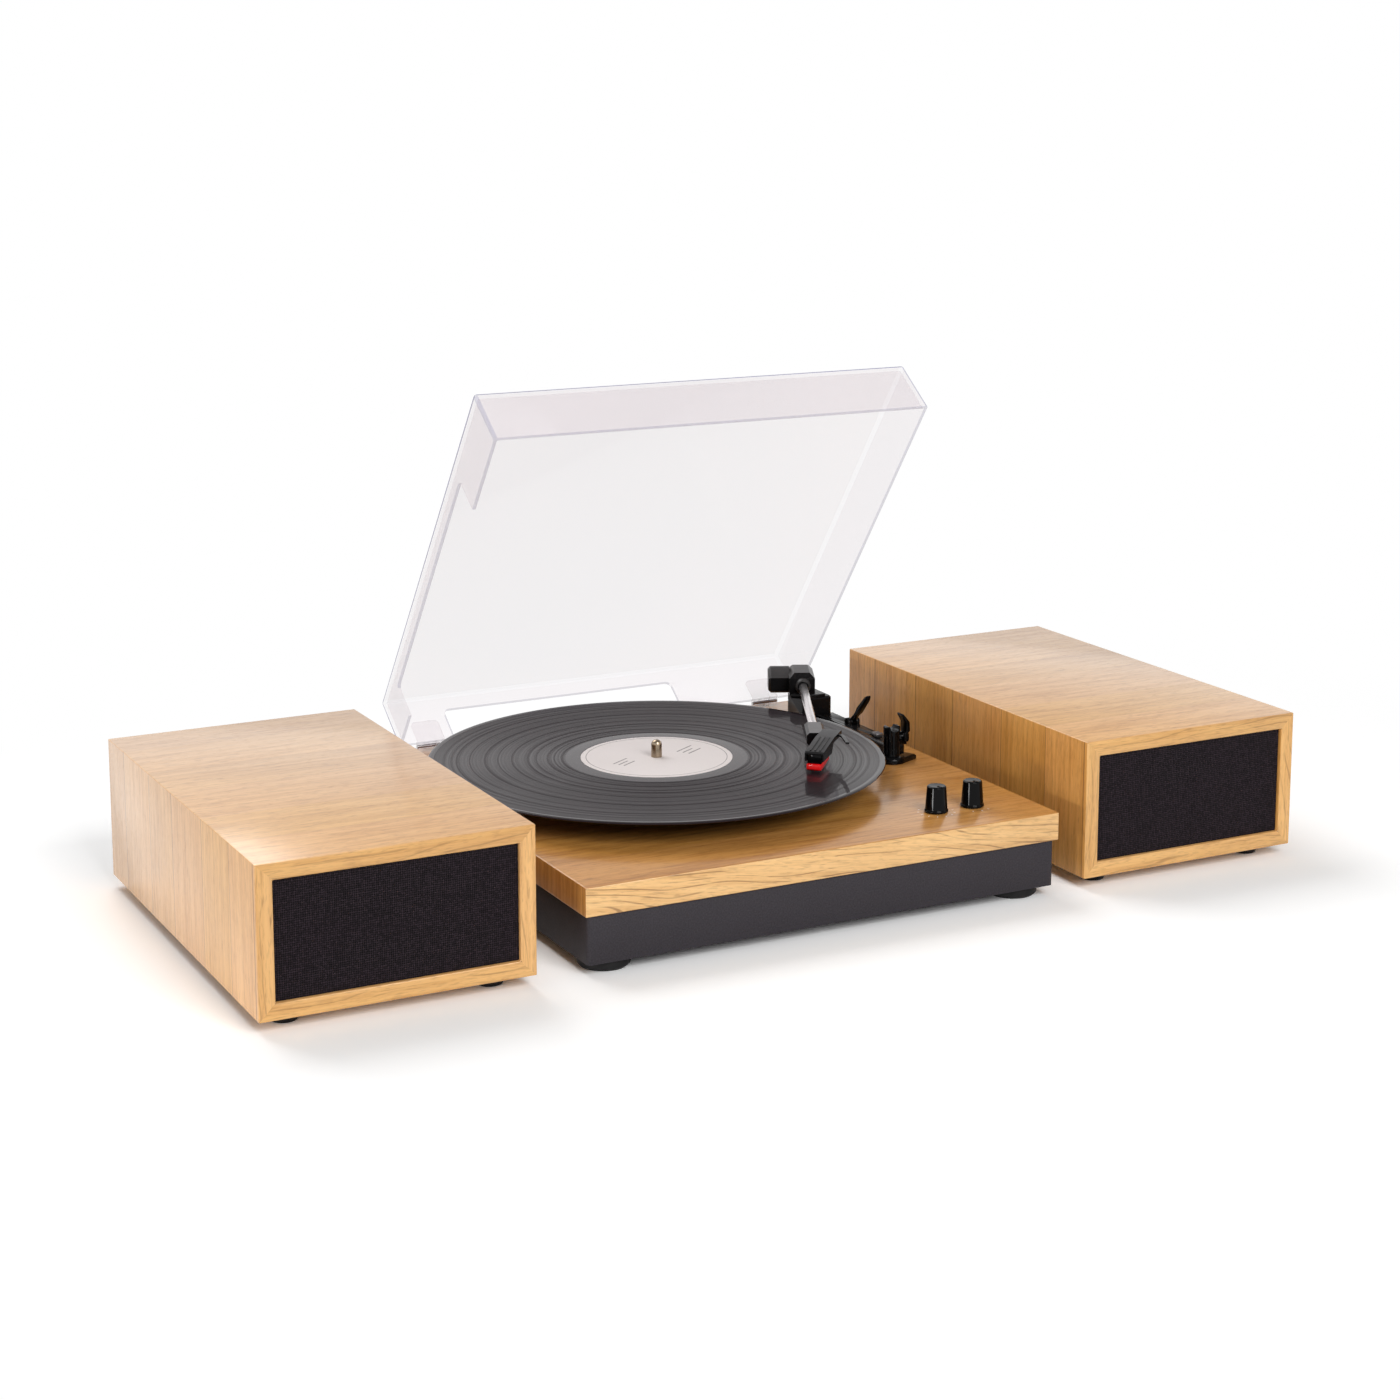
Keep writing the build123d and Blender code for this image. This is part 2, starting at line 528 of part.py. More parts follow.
def slide_switch(y):
    """Switch cap with a finger groove, on a stem that passes the plate's slot."""
    stem = block(SWITCH_X - 1.6, SWITCH_X + 1.6, y - 3.5, y - 3.5 + 4.0, BOARD_TOP - 4, PLATE_TOP + 0.5)
    cap = block(SWITCH_X - 2.6, SWITCH_X + 2.6, y - 5, y + 2, PLATE_TOP + 0.4, PLATE_TOP + 3)
    cap = fillet(cap.edges().filter_by(Axis.X).group_by(Axis.Z)[-1], 1.0)
    cap -= rod_x(SWITCH_X - 3, SWITCH_X + 3, y - 1.5, PLATE_TOP + 3.6, 1.4)
    return stem + cap


def arm_rest():
    """Post with a notched top for the tube, a round base, a pointed tab and an ear for the clip."""
    x, y = REST_AT
    foot = turned(x, y, (0, BOARD_TOP), (9.6, BOARD_TOP), (9.6, BOARD_TOP + 2.6), (8.4, BOARD_TOP + 4.4),
                  (REST_R, BOARD_TOP + 4.4), (REST_R, REST_TOP - 0.8), (REST_R - 0.8, REST_TOP), (0, REST_TOP))
    tab = plan_profile(BOARD_TOP, BOARD_TOP + 3.4, (x + 3, y - 9), (x + 18.5, y - 2), (x + 13, y + 9), (x + 3, y + 9))
    foot += chamfer(tab.edges().group_by(Axis.Z)[-1], 1.0)
    foot += block(x + 4, CLIP_AT[0] + 1.5, y - 1.5, y + 1.5, CLIP_AT[1] - 4, CLIP_AT[1])
    foot += rod_y(CLIP_AT[0], y - 1.5, y + 1.5, CLIP_AT[1], 2.6)
    foot -= rod_y(CLIP_AT[0], y - 1.5, y + 1.5, CLIP_AT[1], 1.2 + RUNNING_FIT)
    notch = block(x - 3.4, x + 3.4, y - 10, y + 10, REST_TOP - 3.2, REST_TOP)
    notch = fillet(notch.edges().filter_by(Axis.Y).group_by(Axis.Z)[0], 2.6)
    for step in range(12):
        angle = radians(30 * step)
        foot -= rod(x + (REST_R + 0.5) * cos(angle), y + (REST_R + 0.5) * sin(angle), BOARD_TOP + 6, REST_TOP - 6, 0.9)
    return foot - notch


def arm_clip():
    """Hooked clip on a cross pin beside the rest."""
    x, z = CLIP_AT
    outer = make_face(Polyline((0, 0), (2.6, 3), (2.2, 9), (-2.6, 14.8), (-3.0, 13.6), (-0.2, 8.6), (-0.4, 3.2),
                               close=True))
    hook = extrude(Plane.XZ * outer, amount=4.0, both=True)
    hook = Pos(x, REST_AT[1], z + 2.8) * hook
    for side in (-1, 1):
        cheek = block(x - 1.8, x + 1.8, -1.1, 1.1, z, z + 4) + rod_y(x, -1.1, 1.1, z, 1.8)
        hook += Pos(0, REST_AT[1] + side * 2.9, 0) * cheek
    return hook + rod_y(x, REST_AT[1] - 4, REST_AT[1] + 4, z, 1.2)


def arm_yoke():
    """Swivel: post in the turret, thrust disc and an upright tongue that carries the pitch axle."""
    swivel = rod(0, 0, BOARD_TOP + 4, BASE_BLOCK_TOP, YOKE_POST_R)
    swivel += rod(0, 0, BASE_BLOCK_TOP, BASE_BLOCK_TOP + 0.7, YOKE_POST_R)
    swivel += rod(0, 0, BASE_BLOCK_TOP + 0.1, BASE_BLOCK_TOP + 0.6, 9.0)
    tongue = block(-4, 4, -3.2, 3.2, BASE_BLOCK_TOP + 0.2, TUBE_Z) + rod_y(0, -3.2, 3.2, TUBE_Z, 4.0)
    swivel += tongue
    return ARM * (swivel - rod_y(0, -3.2, 3.2, TUBE_Z, PITCH_AXLE_R + RUNNING_FIT))


def pivot_axle():
    return ARM * rod_y(0, -9, 8.2, TUBE_Z, PITCH_AXLE_R)


def pivot_housing():
    """Bevelled box round the pivots with a ring for the tube, and a sloped wing on its inner side for the weight."""
    side = 8.6
    seam = -9.5
    body = block(-13, HOUSING_FRONT, seam, side, HOUSING_BOTTOM, HOUSING_TOP)
    body = chamfer(body.edges().group_by(Axis.Z)[-1], 3.6)
    body = chamfer(body.edges().group_by(Axis.Z)[0], 1.4)
    low = HOUSING_BOTTOM + 1.1
    wing = side_profile((seam + 1 - WING_SIDE) / 2, (-9, low + 1.4), (-9, 90.5), (-7.5, 92), (-1, 92), (WING_FRONT, 87),
                        (WING_FRONT, low + 1.4), (WING_FRONT - 1.4, low), (-7.6, low))
    wing = chamfer(wing.faces().sort_by(Axis.Y)[0].edges(), 1.8)
    body += Pos(0, (seam + 1 + WING_SIDE) / 2, 0) * wing
    body += Pos(HOUSING_FRONT, 0, TUBE_Z) * Rot(0, 90, 0) * Cone(5.8, 4.8, 3.0, align=(
        Align.CENTER, Align.CENTER, Align.MIN))
    body -= block(-7, 7, -4, 4, HOUSING_BOTTOM, TUBE_Z + 5)
    body -= rod_y(0, -9, 8.2, TUBE_Z, PITCH_AXLE_R)
    body -= rod_x(HOUSING_FRONT + 0.4, HOUSING_FRONT + 3, 0, TUBE_Z, TUBE_R + 0.9)
    return ARM * (body - rod_x(9, HOUSING_FRONT + 3, 0, TUBE_Z, TUBE_R))


def arm_tube():
    tube = rod_x(9, TUBE_END, 0, TUBE_Z, TUBE_R)
    return ARM * (tube - rod_x(9, TUBE_END, 0, TUBE_Z, TUBE_BORE))


def headshell():
    """Wedge-shaped shell: collar on the tube, thin rear plate, ribbed slope, side skirts and a finger lift outside."""
    half = HEAD_W / 2
    shell = side_profile(half, (HEAD_REAR, 84.8), (HEAD_REAR, HEAD_TOP - 0.6), (HEAD_REAR + 0.6, HEAD_TOP), (-28, HEAD_TOP),
                         (HEAD_NOSE - 1, 85.2), (HEAD_NOSE, 84.2), (HEAD_NOSE, HEAD_SKIRT), (-22, HEAD_SKIRT), (-26, 84.8))
    shell -= side_profile(half - HEAD_WALL, (-20.6, HEAD_SKIRT - 1), (-24.2, HEAD_CEILING), (HEAD_NOSE + 1, HEAD_CEILING),
                          (HEAD_NOSE + 1, HEAD_SKIRT - 1))
    for y in (-3.1, 0, 3.1):
        shell += Pos(0, y, 0) * side_profile(0.5, (-27, 88.2), (-27, 87.0), (-1.5, 84.6), (-1.5, 85.8))
    collar = block(TUBE_END - 8, TUBE_END + 20, -6.3, 6.3, TUBE_Z - 4.8, HEAD_TOP - 0.6)
    collar = chamfer(collar.edges().filter_by(Axis.X), 1.8)
    collar -= rod_x(TUBE_END - 8, TUBE_END, 0, TUBE_Z, TUBE_R)
    lift = Polyline((-42, half - 0.8, 86.2), (-37, half + 3.5, 86.6), (-20, half + 10.8, 87.0))
    finger = sweep(Plane(origin=lift @ 0, z_dir=lift % 0) * Rectangle(2.2, 1.3), lift, transition=Transition.RIGHT)
    return HEAD * shell + ARM * collar + HEAD * finger


GRIP_HALF = HEAD_W / 2 - HEAD_WALL - 0.4
GRIP_FRONT = 2.6


def grip_seam(x):
    """Height of the sloped joint between cartridge and stylus grip."""
    return 77.2 + (GRIP_FRONT - x) * 0.06


def cartridge():
    """Cartridge body between the shell's skirts, with a sloped back and underside."""
    return HEAD * side_profile(GRIP_HALF, (-19.8, grip_seam(-19.8)), (-19.8, 80), (-21.6, HEAD_CEILING), (0.6, HEAD_CEILING),
                               (0.6, grip_seam(0.6)))


def stylus_holder():
    """Pull-out stylus grip: sloped nose and underside, with a fine cantilever and tip in a slot."""
    grip = side_profile(GRIP_HALF, (-21, grip_seam(-21)), (-21, 75.6), (-6, 73.5), (1.5, 73.2), (GRIP_FRONT, 74.2),
                        (GRIP_FRONT, grip_seam(GRIP_FRONT)))
    grip -= block(-3.4, 1.0, -0.9, 0.9, 73.0, 75.4)
    needle = side_profile(0.3, (-3.6, 74.7), (-3.6, 75.3), (0.3, 73.3), (0.3, 72.9), (0.1, RECORD_TOP + STYLUS_GAP),
                          (-0.1, RECORD_TOP + STYLUS_GAP), (-0.4, 72.9))
    return HEAD * (grip + needle)


def control_knob(x):
    """Tapered knob with flats round its side, a low skirt, a dished top and a pointer ridge."""
    low = BOARD_TOP + KNOB_GAP
    high = low + KNOB_H
    side = loft([Pos(0, 0, low + 1.2) * RegularPolygon(KNOB_BASE_R - 0.2, KNOB_SIDES),
                 Pos(0, 0, high) * RegularPolygon(KNOB_TOP_R, KNOB_SIDES)], ruled=True)
    side = chamfer(side.edges().group_by(Axis.Z)[-1], 0.6)
    skirt = turned(0, 0, (0, low), (KNOB_BASE_R + 0.2, low), (KNOB_BASE_R + 0.2, low + 1.0),
                   (KNOB_BASE_R - 0.4, low + 1.8), (0, low + 1.8))
    knob = side + skirt
    knob -= turned(0, 0, (0, high - 0.5), (KNOB_TOP_R - 1.4, high), (0, high))
    knob += block(-0.5, 0.5, -KNOB_TOP_R + 0.8, -1.5, high - 0.8, high + 0.3)
    knob -= turned(0, 0, (0, low), (CONTROL_SHAFT_R, low), (CONTROL_SHAFT_R, high - 5), (0, high - 5))
    return Pos(x, KNOB_Y, 0) * knob


def control_shaft(x):
    """Shaft from the rotary control up into the knob, with a flat on its upper end."""
    low = BOARD_BOTTOM - 7.5
    high = BOARD_TOP + KNOB_GAP + KNOB_H - 5
    return rod(x, KNOB_Y, low, high, CONTROL_SHAFT_R) - block(x + 1.6, x + 4, KNOB_Y - 4, KNOB_Y + 4,
                                                               BOARD_TOP + 4, high)


def speaker_parts(side, left):
    """All pieces of one loudspeaker, by node name, with the box's left face at the given X."""
    right = left + SPEAKER_W
    front = SPEAKER_FRONT
    rear = front + SPEAKER_D
    low = SPEAKER_FOOT_H
    high = low + SPEAKER_H
    middle = ((left + right) / 2, (low + high) / 2)
    inner = (left + CABINET_WALL, right - CABINET_WALL)
    inner_z = (low + CABINET_WALL, high - CABINET_WALL)

    cabinet = chamfer(block(left, right, front, rear, low, high).edges(), 0.7)
    cabinet -= block(*inner, front, rear, *inner_z)

    cloth_front = front + GRILLE_RECESS
    grille = block(inner[0] + GRILLE_CLEAR, inner[1] - GRILLE_CLEAR, cloth_front, cloth_front + CLOTH_T,
                   inner_z[0] + GRILLE_CLEAR, inner_z[1] - GRILLE_CLEAR)
    frame_front = cloth_front + CLOTH_T
    frame = block(inner[0] + GRILLE_CLEAR, inner[1] - GRILLE_CLEAR, frame_front, frame_front + 4,
                  inner_z[0] + GRILLE_CLEAR, inner_z[1] - GRILLE_CLEAR)
    window = block(inner[0] + 9, inner[1] - 9, frame_front, frame_front + 4, inner_z[0] + 9, inner_z[1] - 9)
    frame -= fillet(window.edges().filter_by(Axis.Y), 4.0)

    baffle_front = frame_front + 7
    baffle = block(*inner, baffle_front, baffle_front + 9, *inner_z)
    baffle -= rod_y(middle[0], baffle_front, baffle_front + 9, middle[1], DRIVER_R - 2)

    def about_driver(shape):
        return Pos(middle[0], baffle_front, middle[1]) * Rot(-90, 0, 0) * shape
    basket = about_driver(turned(0, 0, (DRIVER_R - 3, -2.2), (DRIVER_R + 3, -2.2), (DRIVER_R + 3, 0), (DRIVER_R - 2.2, 0),
                                 (DRIVER_R - 2.2, 9), (17, 20), (17, 34), (0, 34), (0, 31), (14, 31), (14, 18.5),
                                 (DRIVER_R - 4, 8), (DRIVER_R - 4, 0)))
    cone = about_driver(turned(0, 0, (DRIVER_R - 4.2, -1.0), (DRIVER_R - 7, -2.0), (DRIVER_R - 9, -0.6), (11, 8.6), (9, 5.6),
                               (5, 4.0), (0, 3.4), (0, 4.6), (5, 5.2), (9, 7.0), (10.5, 10.2), (DRIVER_R - 8.6, 0.8),
                               (DRIVER_R - 7, -0.8), (DRIVER_R - 4.2, 0.2)))

    panel_front = rear - 12
    panel = block(*inner, panel_front, rear - 3, *inner_z)
    socket = (middle[0], low + 28)
    panel -= rod_y(socket[0], rear - 8, rear - 3, socket[1], 13.0)
    panel += rod_y(socket[0], rear - 8, rear + 1.5, socket[1], 4.15)
    panel -= rod_y(socket[0], rear - 9, rear + 1.5, socket[1], 1.7)

    feet = group(Pos(middle[0], (front + rear) / 2, 0) * round_foot(x, y, SPEAKER_FOOT_R, SPEAKER_FOOT_H)
                 for x, y in foot_places(SPEAKER_W, SPEAKER_D, SPEAKER_FOOT_INSET))
    return {f"{side}_cabinet": cabinet, f"{side}_grille_cloth": grille, f"{side}_grille_frame": frame,
            f"{side}_front_baffle": baffle, f"{side}_woofer_basket": basket, f"{side}_woofer_cone": cone,
            f"{side}_back_panel": panel, f"{side}_speaker_feet": feet}


DECK_PIECES = (top_board, base_box, bottom_panel, deck_feet, case_screws, bearing_bush, motor_body, motor_bracket,
               drive_belt, amp_board, jack_panel, rear_jacks, power_inlet, control_pots, hinge_brackets)
ARM_PIECES = (tonearm_plate, tonearm_base, arm_rest, arm_yoke, pivot_axle, pivot_housing, arm_tube, headshell,
              cartridge, stylus_holder, cue_lever, lift_platform, arm_clip)
TURNING_PIECES = (platter, platter_mat, spindle, record, record_label, motor_pulley, motor_shaft)
COVER_PIECES = (dust_cover, hinge_arms, hinge_pins)


def build():
    os.makedirs("parts", exist_ok=True)
    for piece in DECK_PIECES + ARM_PIECES + TURNING_PIECES + COVER_PIECES:
        save(piece.__name__, piece())
    save("volume_knob", control_knob(VOLUME_X))
    save("selector_knob", control_knob(SELECTOR_X))
    save("volume_shaft", control_shaft(VOLUME_X))
    save("selector_shaft", control_shaft(SELECTOR_X))
    save("speed_switch", slide_switch(SPEED_SWITCH_Y))
    save("auto_stop_switch", slide_switch(STOP_SWITCH_Y))
    for side, left in (("left", LEFT_SPEAKER_X), ("right", RIGHT_SPEAKER_X)):
        for node, shape in speaker_parts(side, left).items():
            save(node, shape)


build()
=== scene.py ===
"""Looks of a belt-drive record player: oak deck, clear dust cover, tonearm and two cloth-fronted loudspeakers."""
import json
import math

import bmesh
import bpy
from mathutils import Matrix, Vector

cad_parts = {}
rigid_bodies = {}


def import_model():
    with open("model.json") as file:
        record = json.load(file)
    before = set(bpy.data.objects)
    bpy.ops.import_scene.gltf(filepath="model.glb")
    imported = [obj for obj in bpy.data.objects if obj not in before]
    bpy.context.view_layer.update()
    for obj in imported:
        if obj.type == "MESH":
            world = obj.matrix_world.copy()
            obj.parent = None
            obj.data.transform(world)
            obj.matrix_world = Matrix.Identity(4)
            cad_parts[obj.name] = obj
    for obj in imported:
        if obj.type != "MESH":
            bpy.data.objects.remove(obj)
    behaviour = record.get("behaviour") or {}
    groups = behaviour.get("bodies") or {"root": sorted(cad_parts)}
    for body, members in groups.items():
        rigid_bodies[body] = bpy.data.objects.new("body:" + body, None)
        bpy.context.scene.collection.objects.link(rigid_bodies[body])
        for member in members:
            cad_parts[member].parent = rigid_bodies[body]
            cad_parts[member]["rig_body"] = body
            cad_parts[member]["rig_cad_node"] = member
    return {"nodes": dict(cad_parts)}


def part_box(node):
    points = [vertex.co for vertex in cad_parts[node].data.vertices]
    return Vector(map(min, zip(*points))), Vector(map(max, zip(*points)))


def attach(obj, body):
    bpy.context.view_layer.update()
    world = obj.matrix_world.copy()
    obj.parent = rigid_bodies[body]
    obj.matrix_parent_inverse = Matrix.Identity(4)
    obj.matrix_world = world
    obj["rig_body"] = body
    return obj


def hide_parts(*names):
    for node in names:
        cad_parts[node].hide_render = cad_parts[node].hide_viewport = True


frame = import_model()

bl_info = {
    "name": "Record player looks",
    "version": (1, 0, 0),
    "blender": (4, 5, 0),
    "location": "View3D > Sidebar > Record player",
    "description": "Dresses the packed record player with its oak, vinyl, clear acrylic, cloth and moulded finishes",
    "category": "Object",
}

# Places and sizes in metres
SPINDLE = Vector((-0.029, 0.016, 0.072))
DISC_UNDER = SPINDLE.z - 0.0018
DISC_HOLE = 0.00366
HINGE = Vector((0.0, 0.1596, 0.0578))
HOOD_LOW, HOOD_HIGH = Vector((-0.156, -0.1385, 0.056)), Vector((0.156, 0.155, 0.096))
HOOD_SHOULDER = 0.09
BELOW_HOOD = 0.05
CUT_TOP = 0.082
KNOB_X, KNOB_Y = (0.097, 0.124), -0.1276
BOARD_TOP = 0.055
PIVOT = Vector((0.1365, 0.115, 0.0))
ARM_WAY = Vector((math.cos(math.radians(243.9)), math.sin(math.radians(243.9)), 0.0))
FINE_ROUND, SMALL_ROUND, PLAIN_ROUND = 0.0002, 0.0003, 0.0004
PRINT_THICK = 0.00004

# More corners than any turned piece has
MOST_CORNERS = 4096

# Radius and width of each gap between tracks
TRACK_GAPS = ((0.0622, 0.0013), (0.0672, 0.0007), (0.0715, 0.0011), (0.0790, 0.0007), (0.0845, 0.0014),
              (0.0950, 0.0010), (0.1040, 0.0007), (0.1125, 0.0013), (0.1225, 0.0006), (0.1310, 0.0009))


def srgb(red, green, blue):
    """Colour written as 0 to 255 screen values, as the linear colour that Blender keeps."""
    def linear(value):
        part = value / 255
        return part / 12.92 if part <= 0.04045 else ((part + 0.055) / 1.055) ** 2.4
    return (linear(red), linear(green), linear(blue), 1.0)


def colour_setting(label, words, *screen):
    return bpy.props.FloatVectorProperty(name=label, description=words, subtype="COLOR", size=4, min=0, max=1,
                                         default=srgb(*screen))


def number_setting(label, words, value, **kind):
    return bpy.props.FloatProperty(name=label, description=words, default=value, **kind)


def length_setting(label, words, value):
    return number_setting(label, words, value, unit="LENGTH")


def angle_setting(label, words, degrees):
    return number_setting(label, words, math.radians(degrees), subtype="ANGLE", unit="ROTATION")


class PLAYER_PG_oak(bpy.types.PropertyGroup):
    light: colour_setting("Light oak", "Colour of the early wood", 230, 178, 114)
    dark: colour_setting("Dark oak", "Colour of the late wood and streaks", 198, 144, 84)
    pore: colour_setting("Pores", "Colour of the open pores and joints", 112, 72, 36)
    plank: length_setting("Plank width", "Mean width of one veneer leaf", 0.048)
    edge: length_setting("Edge round", "Rounding of the veneered edges", 0.0007)


class PLAYER_PG_moulded(bpy.types.PropertyGroup):
    black: colour_setting("Black", "Black of the moulded arm parts", 15, 14, 15)
    base: colour_setting("Base black", "Textured black of the deck's base", 44, 40, 45)
    knob: colour_setting("Knob black", "Gloss black of the knobs and the arm rest", 7, 7, 8)
    stylus: colour_setting("Stylus red", "Red of the stylus grip", 236, 18, 22)


class PLAYER_PG_record(bpy.types.PropertyGroup):
    vinyl: colour_setting("Vinyl", "Colour of the pressed disc", 30, 21, 25)
    label: colour_setting("Label", "Colour of the label paper", 220, 212, 209)
    groove: length_setting("Groove pitch", "Distance between the drawn grooves", 0.0009)


class PLAYER_PG_cover(bpy.types.PropertyGroup):
    tint: colour_setting("Tint", "Colour of the faint haze on the clear acrylic", 200, 174, 186)
    edge: colour_setting("Edge", "Violet of the acrylic seen along its edges", 104, 100, 160)
    haze: number_setting("Haze", "Share of light that each face holds back", 0.085, subtype="FACTOR")
    wall: length_setting("Wall", "Thickness of the cover's walls", 0.0025)
    opening: angle_setting("Opening", "Angle at which the cover stands open", 53.7)


class PLAYER_PG_cloth(bpy.types.PropertyGroup):
    thread: colour_setting("Thread", "Colour of the grille threads", 27, 21, 25)
    pitch: length_setting("Thread pitch", "Distance between threads", 0.0013)


class PLAYER_PG_stage(bpy.types.PropertyGroup):
    lens: number_setting("Lens", "Focal length of the camera in millimetres", 68.43)
    place: bpy.props.FloatVectorProperty(name="Camera place", description="Where the camera stands", size=3,
                                         default=(-0.7847, -1.5001, 0.5391), subtype="TRANSLATION", unit="LENGTH")
    tilt: angle_setting("Tilt", "How far the camera looks down", 10.0)
    turn: angle_setting("Turn", "How far the camera is turned to the right", 27.46)
    shift: number_setting("Frame shift", "Rise of the lens that keeps uprights upright", -0.14)
    key: number_setting("Key light", "Power of the front lamp in watts", 60.0)
    top: number_setting("Top light", "Power of the lamp above and behind in watts", 29.0)
    side: number_setting("Side light", "Power of the low lamp at the left in watts", 17.0)
    ambient: number_setting("Ambient", "Strength of the white surroundings", 0.30)


SETTINGS = {"oak": PLAYER_PG_oak, "moulded": PLAYER_PG_moulded, "record": PLAYER_PG_record,
            "cover": PLAYER_PG_cover, "cloth": PLAYER_PG_cloth, "stage": PLAYER_PG_stage}


def settings(group):
    return getattr(bpy.context.scene, "player_" + group)


# Node building

class Signal:
    """Output of a shader node; plain arithmetic on it adds math nodes to its tree."""

    def __init__(self, node, key=0):
        self.tree = node.id_data
        self.socket = node.outputs[key]

    def __add__(self, other):
        return calc("ADD", self, other)

    def __sub__(self, other):
        return calc("SUBTRACT", self, other)

    def __rsub__(self, other):
        return calc("SUBTRACT", other, self)

    def __mul__(self, other):
        return calc("MULTIPLY", self, other)

    def __truediv__(self, other):
        return calc("DIVIDE", self, other)


def fill(node, inputs):
    """Fill a node's inputs with numbers, or with signals to join."""
    for key, value in inputs.items():
        if isinstance(value, Signal):
            value.tree.links.new(value.socket, node.inputs[key])
        else:
            node.inputs[key].default_value = value


def put(tree, kind, inputs=None, **values):
    """Add a shader node, set its values and fill its inputs."""
    node = tree.nodes.new("ShaderNode" + kind)
    for key, value in values.items():
        setattr(node, key, value)
    fill(node, inputs or {})
    return node


def derive(kind, inputs, key=0, **values):
    """Signal of a new node that takes in another signal, in the same tree."""
    tree = next(value.tree for value in inputs.values() if isinstance(value, Signal))
    return Signal(put(tree, kind, inputs, **values), key)


def calc(operation, *terms):
    """Result of a math node with these terms."""
    return derive("Math", dict(enumerate(terms)), operation=operation)


def ramp(value, low, high, to_low=0.0, to_high=1.0):
    """Smooth step of a value from one range to another."""
    return derive("MapRange", {"Value": value, "From Min": low, "From Max": high, "To Min": to_low, "To Max": to_high},
                  "Result", interpolation_type="SMOOTHSTEP")


def noise(vector, scale=1.0, detail=2.0, rough=0.5):
    return derive("TexNoise", {"Vector": vector, "Scale": scale, "Detail": detail, "Roughness": rough}, "Fac")


def split(signal, kind="XYZ"):
    """The three parts of a vector or a colour."""
    node = put(signal.tree, "Separate" + kind, {0: signal})
    return [Signal(node, part) for part in range(3)]


def joined(*parts, kind="XYZ"):
    """Vector or colour of these parts."""
    return derive("Combine" + kind, dict(enumerate(parts)))


def grey(level):
    return joined(level, level, level, kind="Color")


def mix(amount, first, second, mode="MIX"):
    """Blend of two colours."""
    return derive("Mix", {0: amount, 6: first, 7: second}, 2, data_type="RGBA", blend_type=mode, clamp_factor=True)


def tinted(colour, tint):
    """Colour times another colour."""
    return mix(1.0, colour, tint, "MULTIPLY")


def new_group(name, inputs, outputs=("Color", "Roughness", "Height")):
    """Shader node group with named sockets; returns its input signals and its output node."""
    tree = bpy.data.node_groups.new(name, "ShaderNodeTree")
    for label, kind in inputs.items():
        tree.interface.new_socket(label, in_out="INPUT", socket_type="NodeSocket" + kind)
    for label in outputs:
        kind = "Color" if label == "Color" else "Float"
        tree.interface.new_socket(label, in_out="OUTPUT", socket_type="NodeSocket" + kind)
    source = tree.nodes.new("NodeGroupInput")
    return {label: Signal(source, label) for label in inputs}, tree.nodes.new("NodeGroupOutput")


def oak_group(name):
    """Oak veneer: clouds of tone, lines, flecks, fine fibres, open pores, growth figure and leaf joints."""
    ins, result = new_group(name, {"Grain": "Vector", "Light": "Color", "Dark": "Color", "Pore": "Color",
                                   "Plank": "Float", "Joint": "Float", "Figure": "Float"})
    parts = split(ins["Grain"])
    place = parts[1] / ins["Plank"]

    def leaves(key, **kind):
        """Veneer leaves of uneven width, side by side."""
        return derive("TexVoronoi", {"W": place, "Scale": 1.0, "Randomness": 0.95}, key, voronoi_dimensions="1D",
                      **kind)
    edge = leaves("Distance", feature="DISTANCE_TO_EDGE")
    tones = split(leaves("Color"), "Color")
    shift = tones[0] * 23.0

    def layer(along, across, detail, rough=0.5):
        """Noise drawn out along the grain, different in each leaf."""
        point = joined(parts[0] * along + shift, parts[1] * across, parts[2] * along + shift)
        return noise(point, detail=detail, rough=rough)
    cloud = layer(8.0, 34.0, 3.0, 0.55)
    line = layer(12.0, 280.0, 4.0, 0.65)
    fleck = ramp(layer(85.0, 520.0, 2.0), 0.55, 0.68)
    fibre = layer(55.0, 1500.0, 2.0, 0.6)
    pores = ramp(layer(150.0, 1250.0, 1.0), 0.56, 0.68)
    swing = (layer(6.5, 22.0, 2.0) - 0.5) * 62.0
    rings = calc("SINE", parts[1] * 1250.0 + swing)
    figure = ramp(rings, 0.70, 1.0) * ramp(line, 0.40, 0.56) * ins["Figure"]

    tone = ramp(line, 0.36, 0.68) * 0.55 + ramp(cloud, 0.34, 0.70) * 0.30
    colour = mix(tone, ins["Light"], ins["Dark"])
    for mark, share in ((ramp(fibre, 0.48, 0.80), 0.15), (fleck, 0.15), (pores, 0.18), (figure, 0.70)):
        colour = mix(mark * share, colour, ins["Pore"])
    shade = ramp(tones[1], 0.0, 1.0, 0.93, 1.05)
    warm = ramp(tones[2], 0.0, 1.0, 0.92, 1.06)
    colour = tinted(colour, joined(shade, shade, shade * warm, kind="Color"))
    seam = ramp(edge, 0.0, 0.018, 1.0, 0.0) * ins["Joint"] * ramp(tones[2], 0.2, 0.7, 0.25, 0.9)
    fill(result, {"Color": mix(seam, colour, ins["Pore"]),
                  "Roughness": ramp(line, 0.3, 0.7, 0.34, 0.42) + pores * 0.10,
                  "Height": fibre * 0.35 - (pores + seam)})


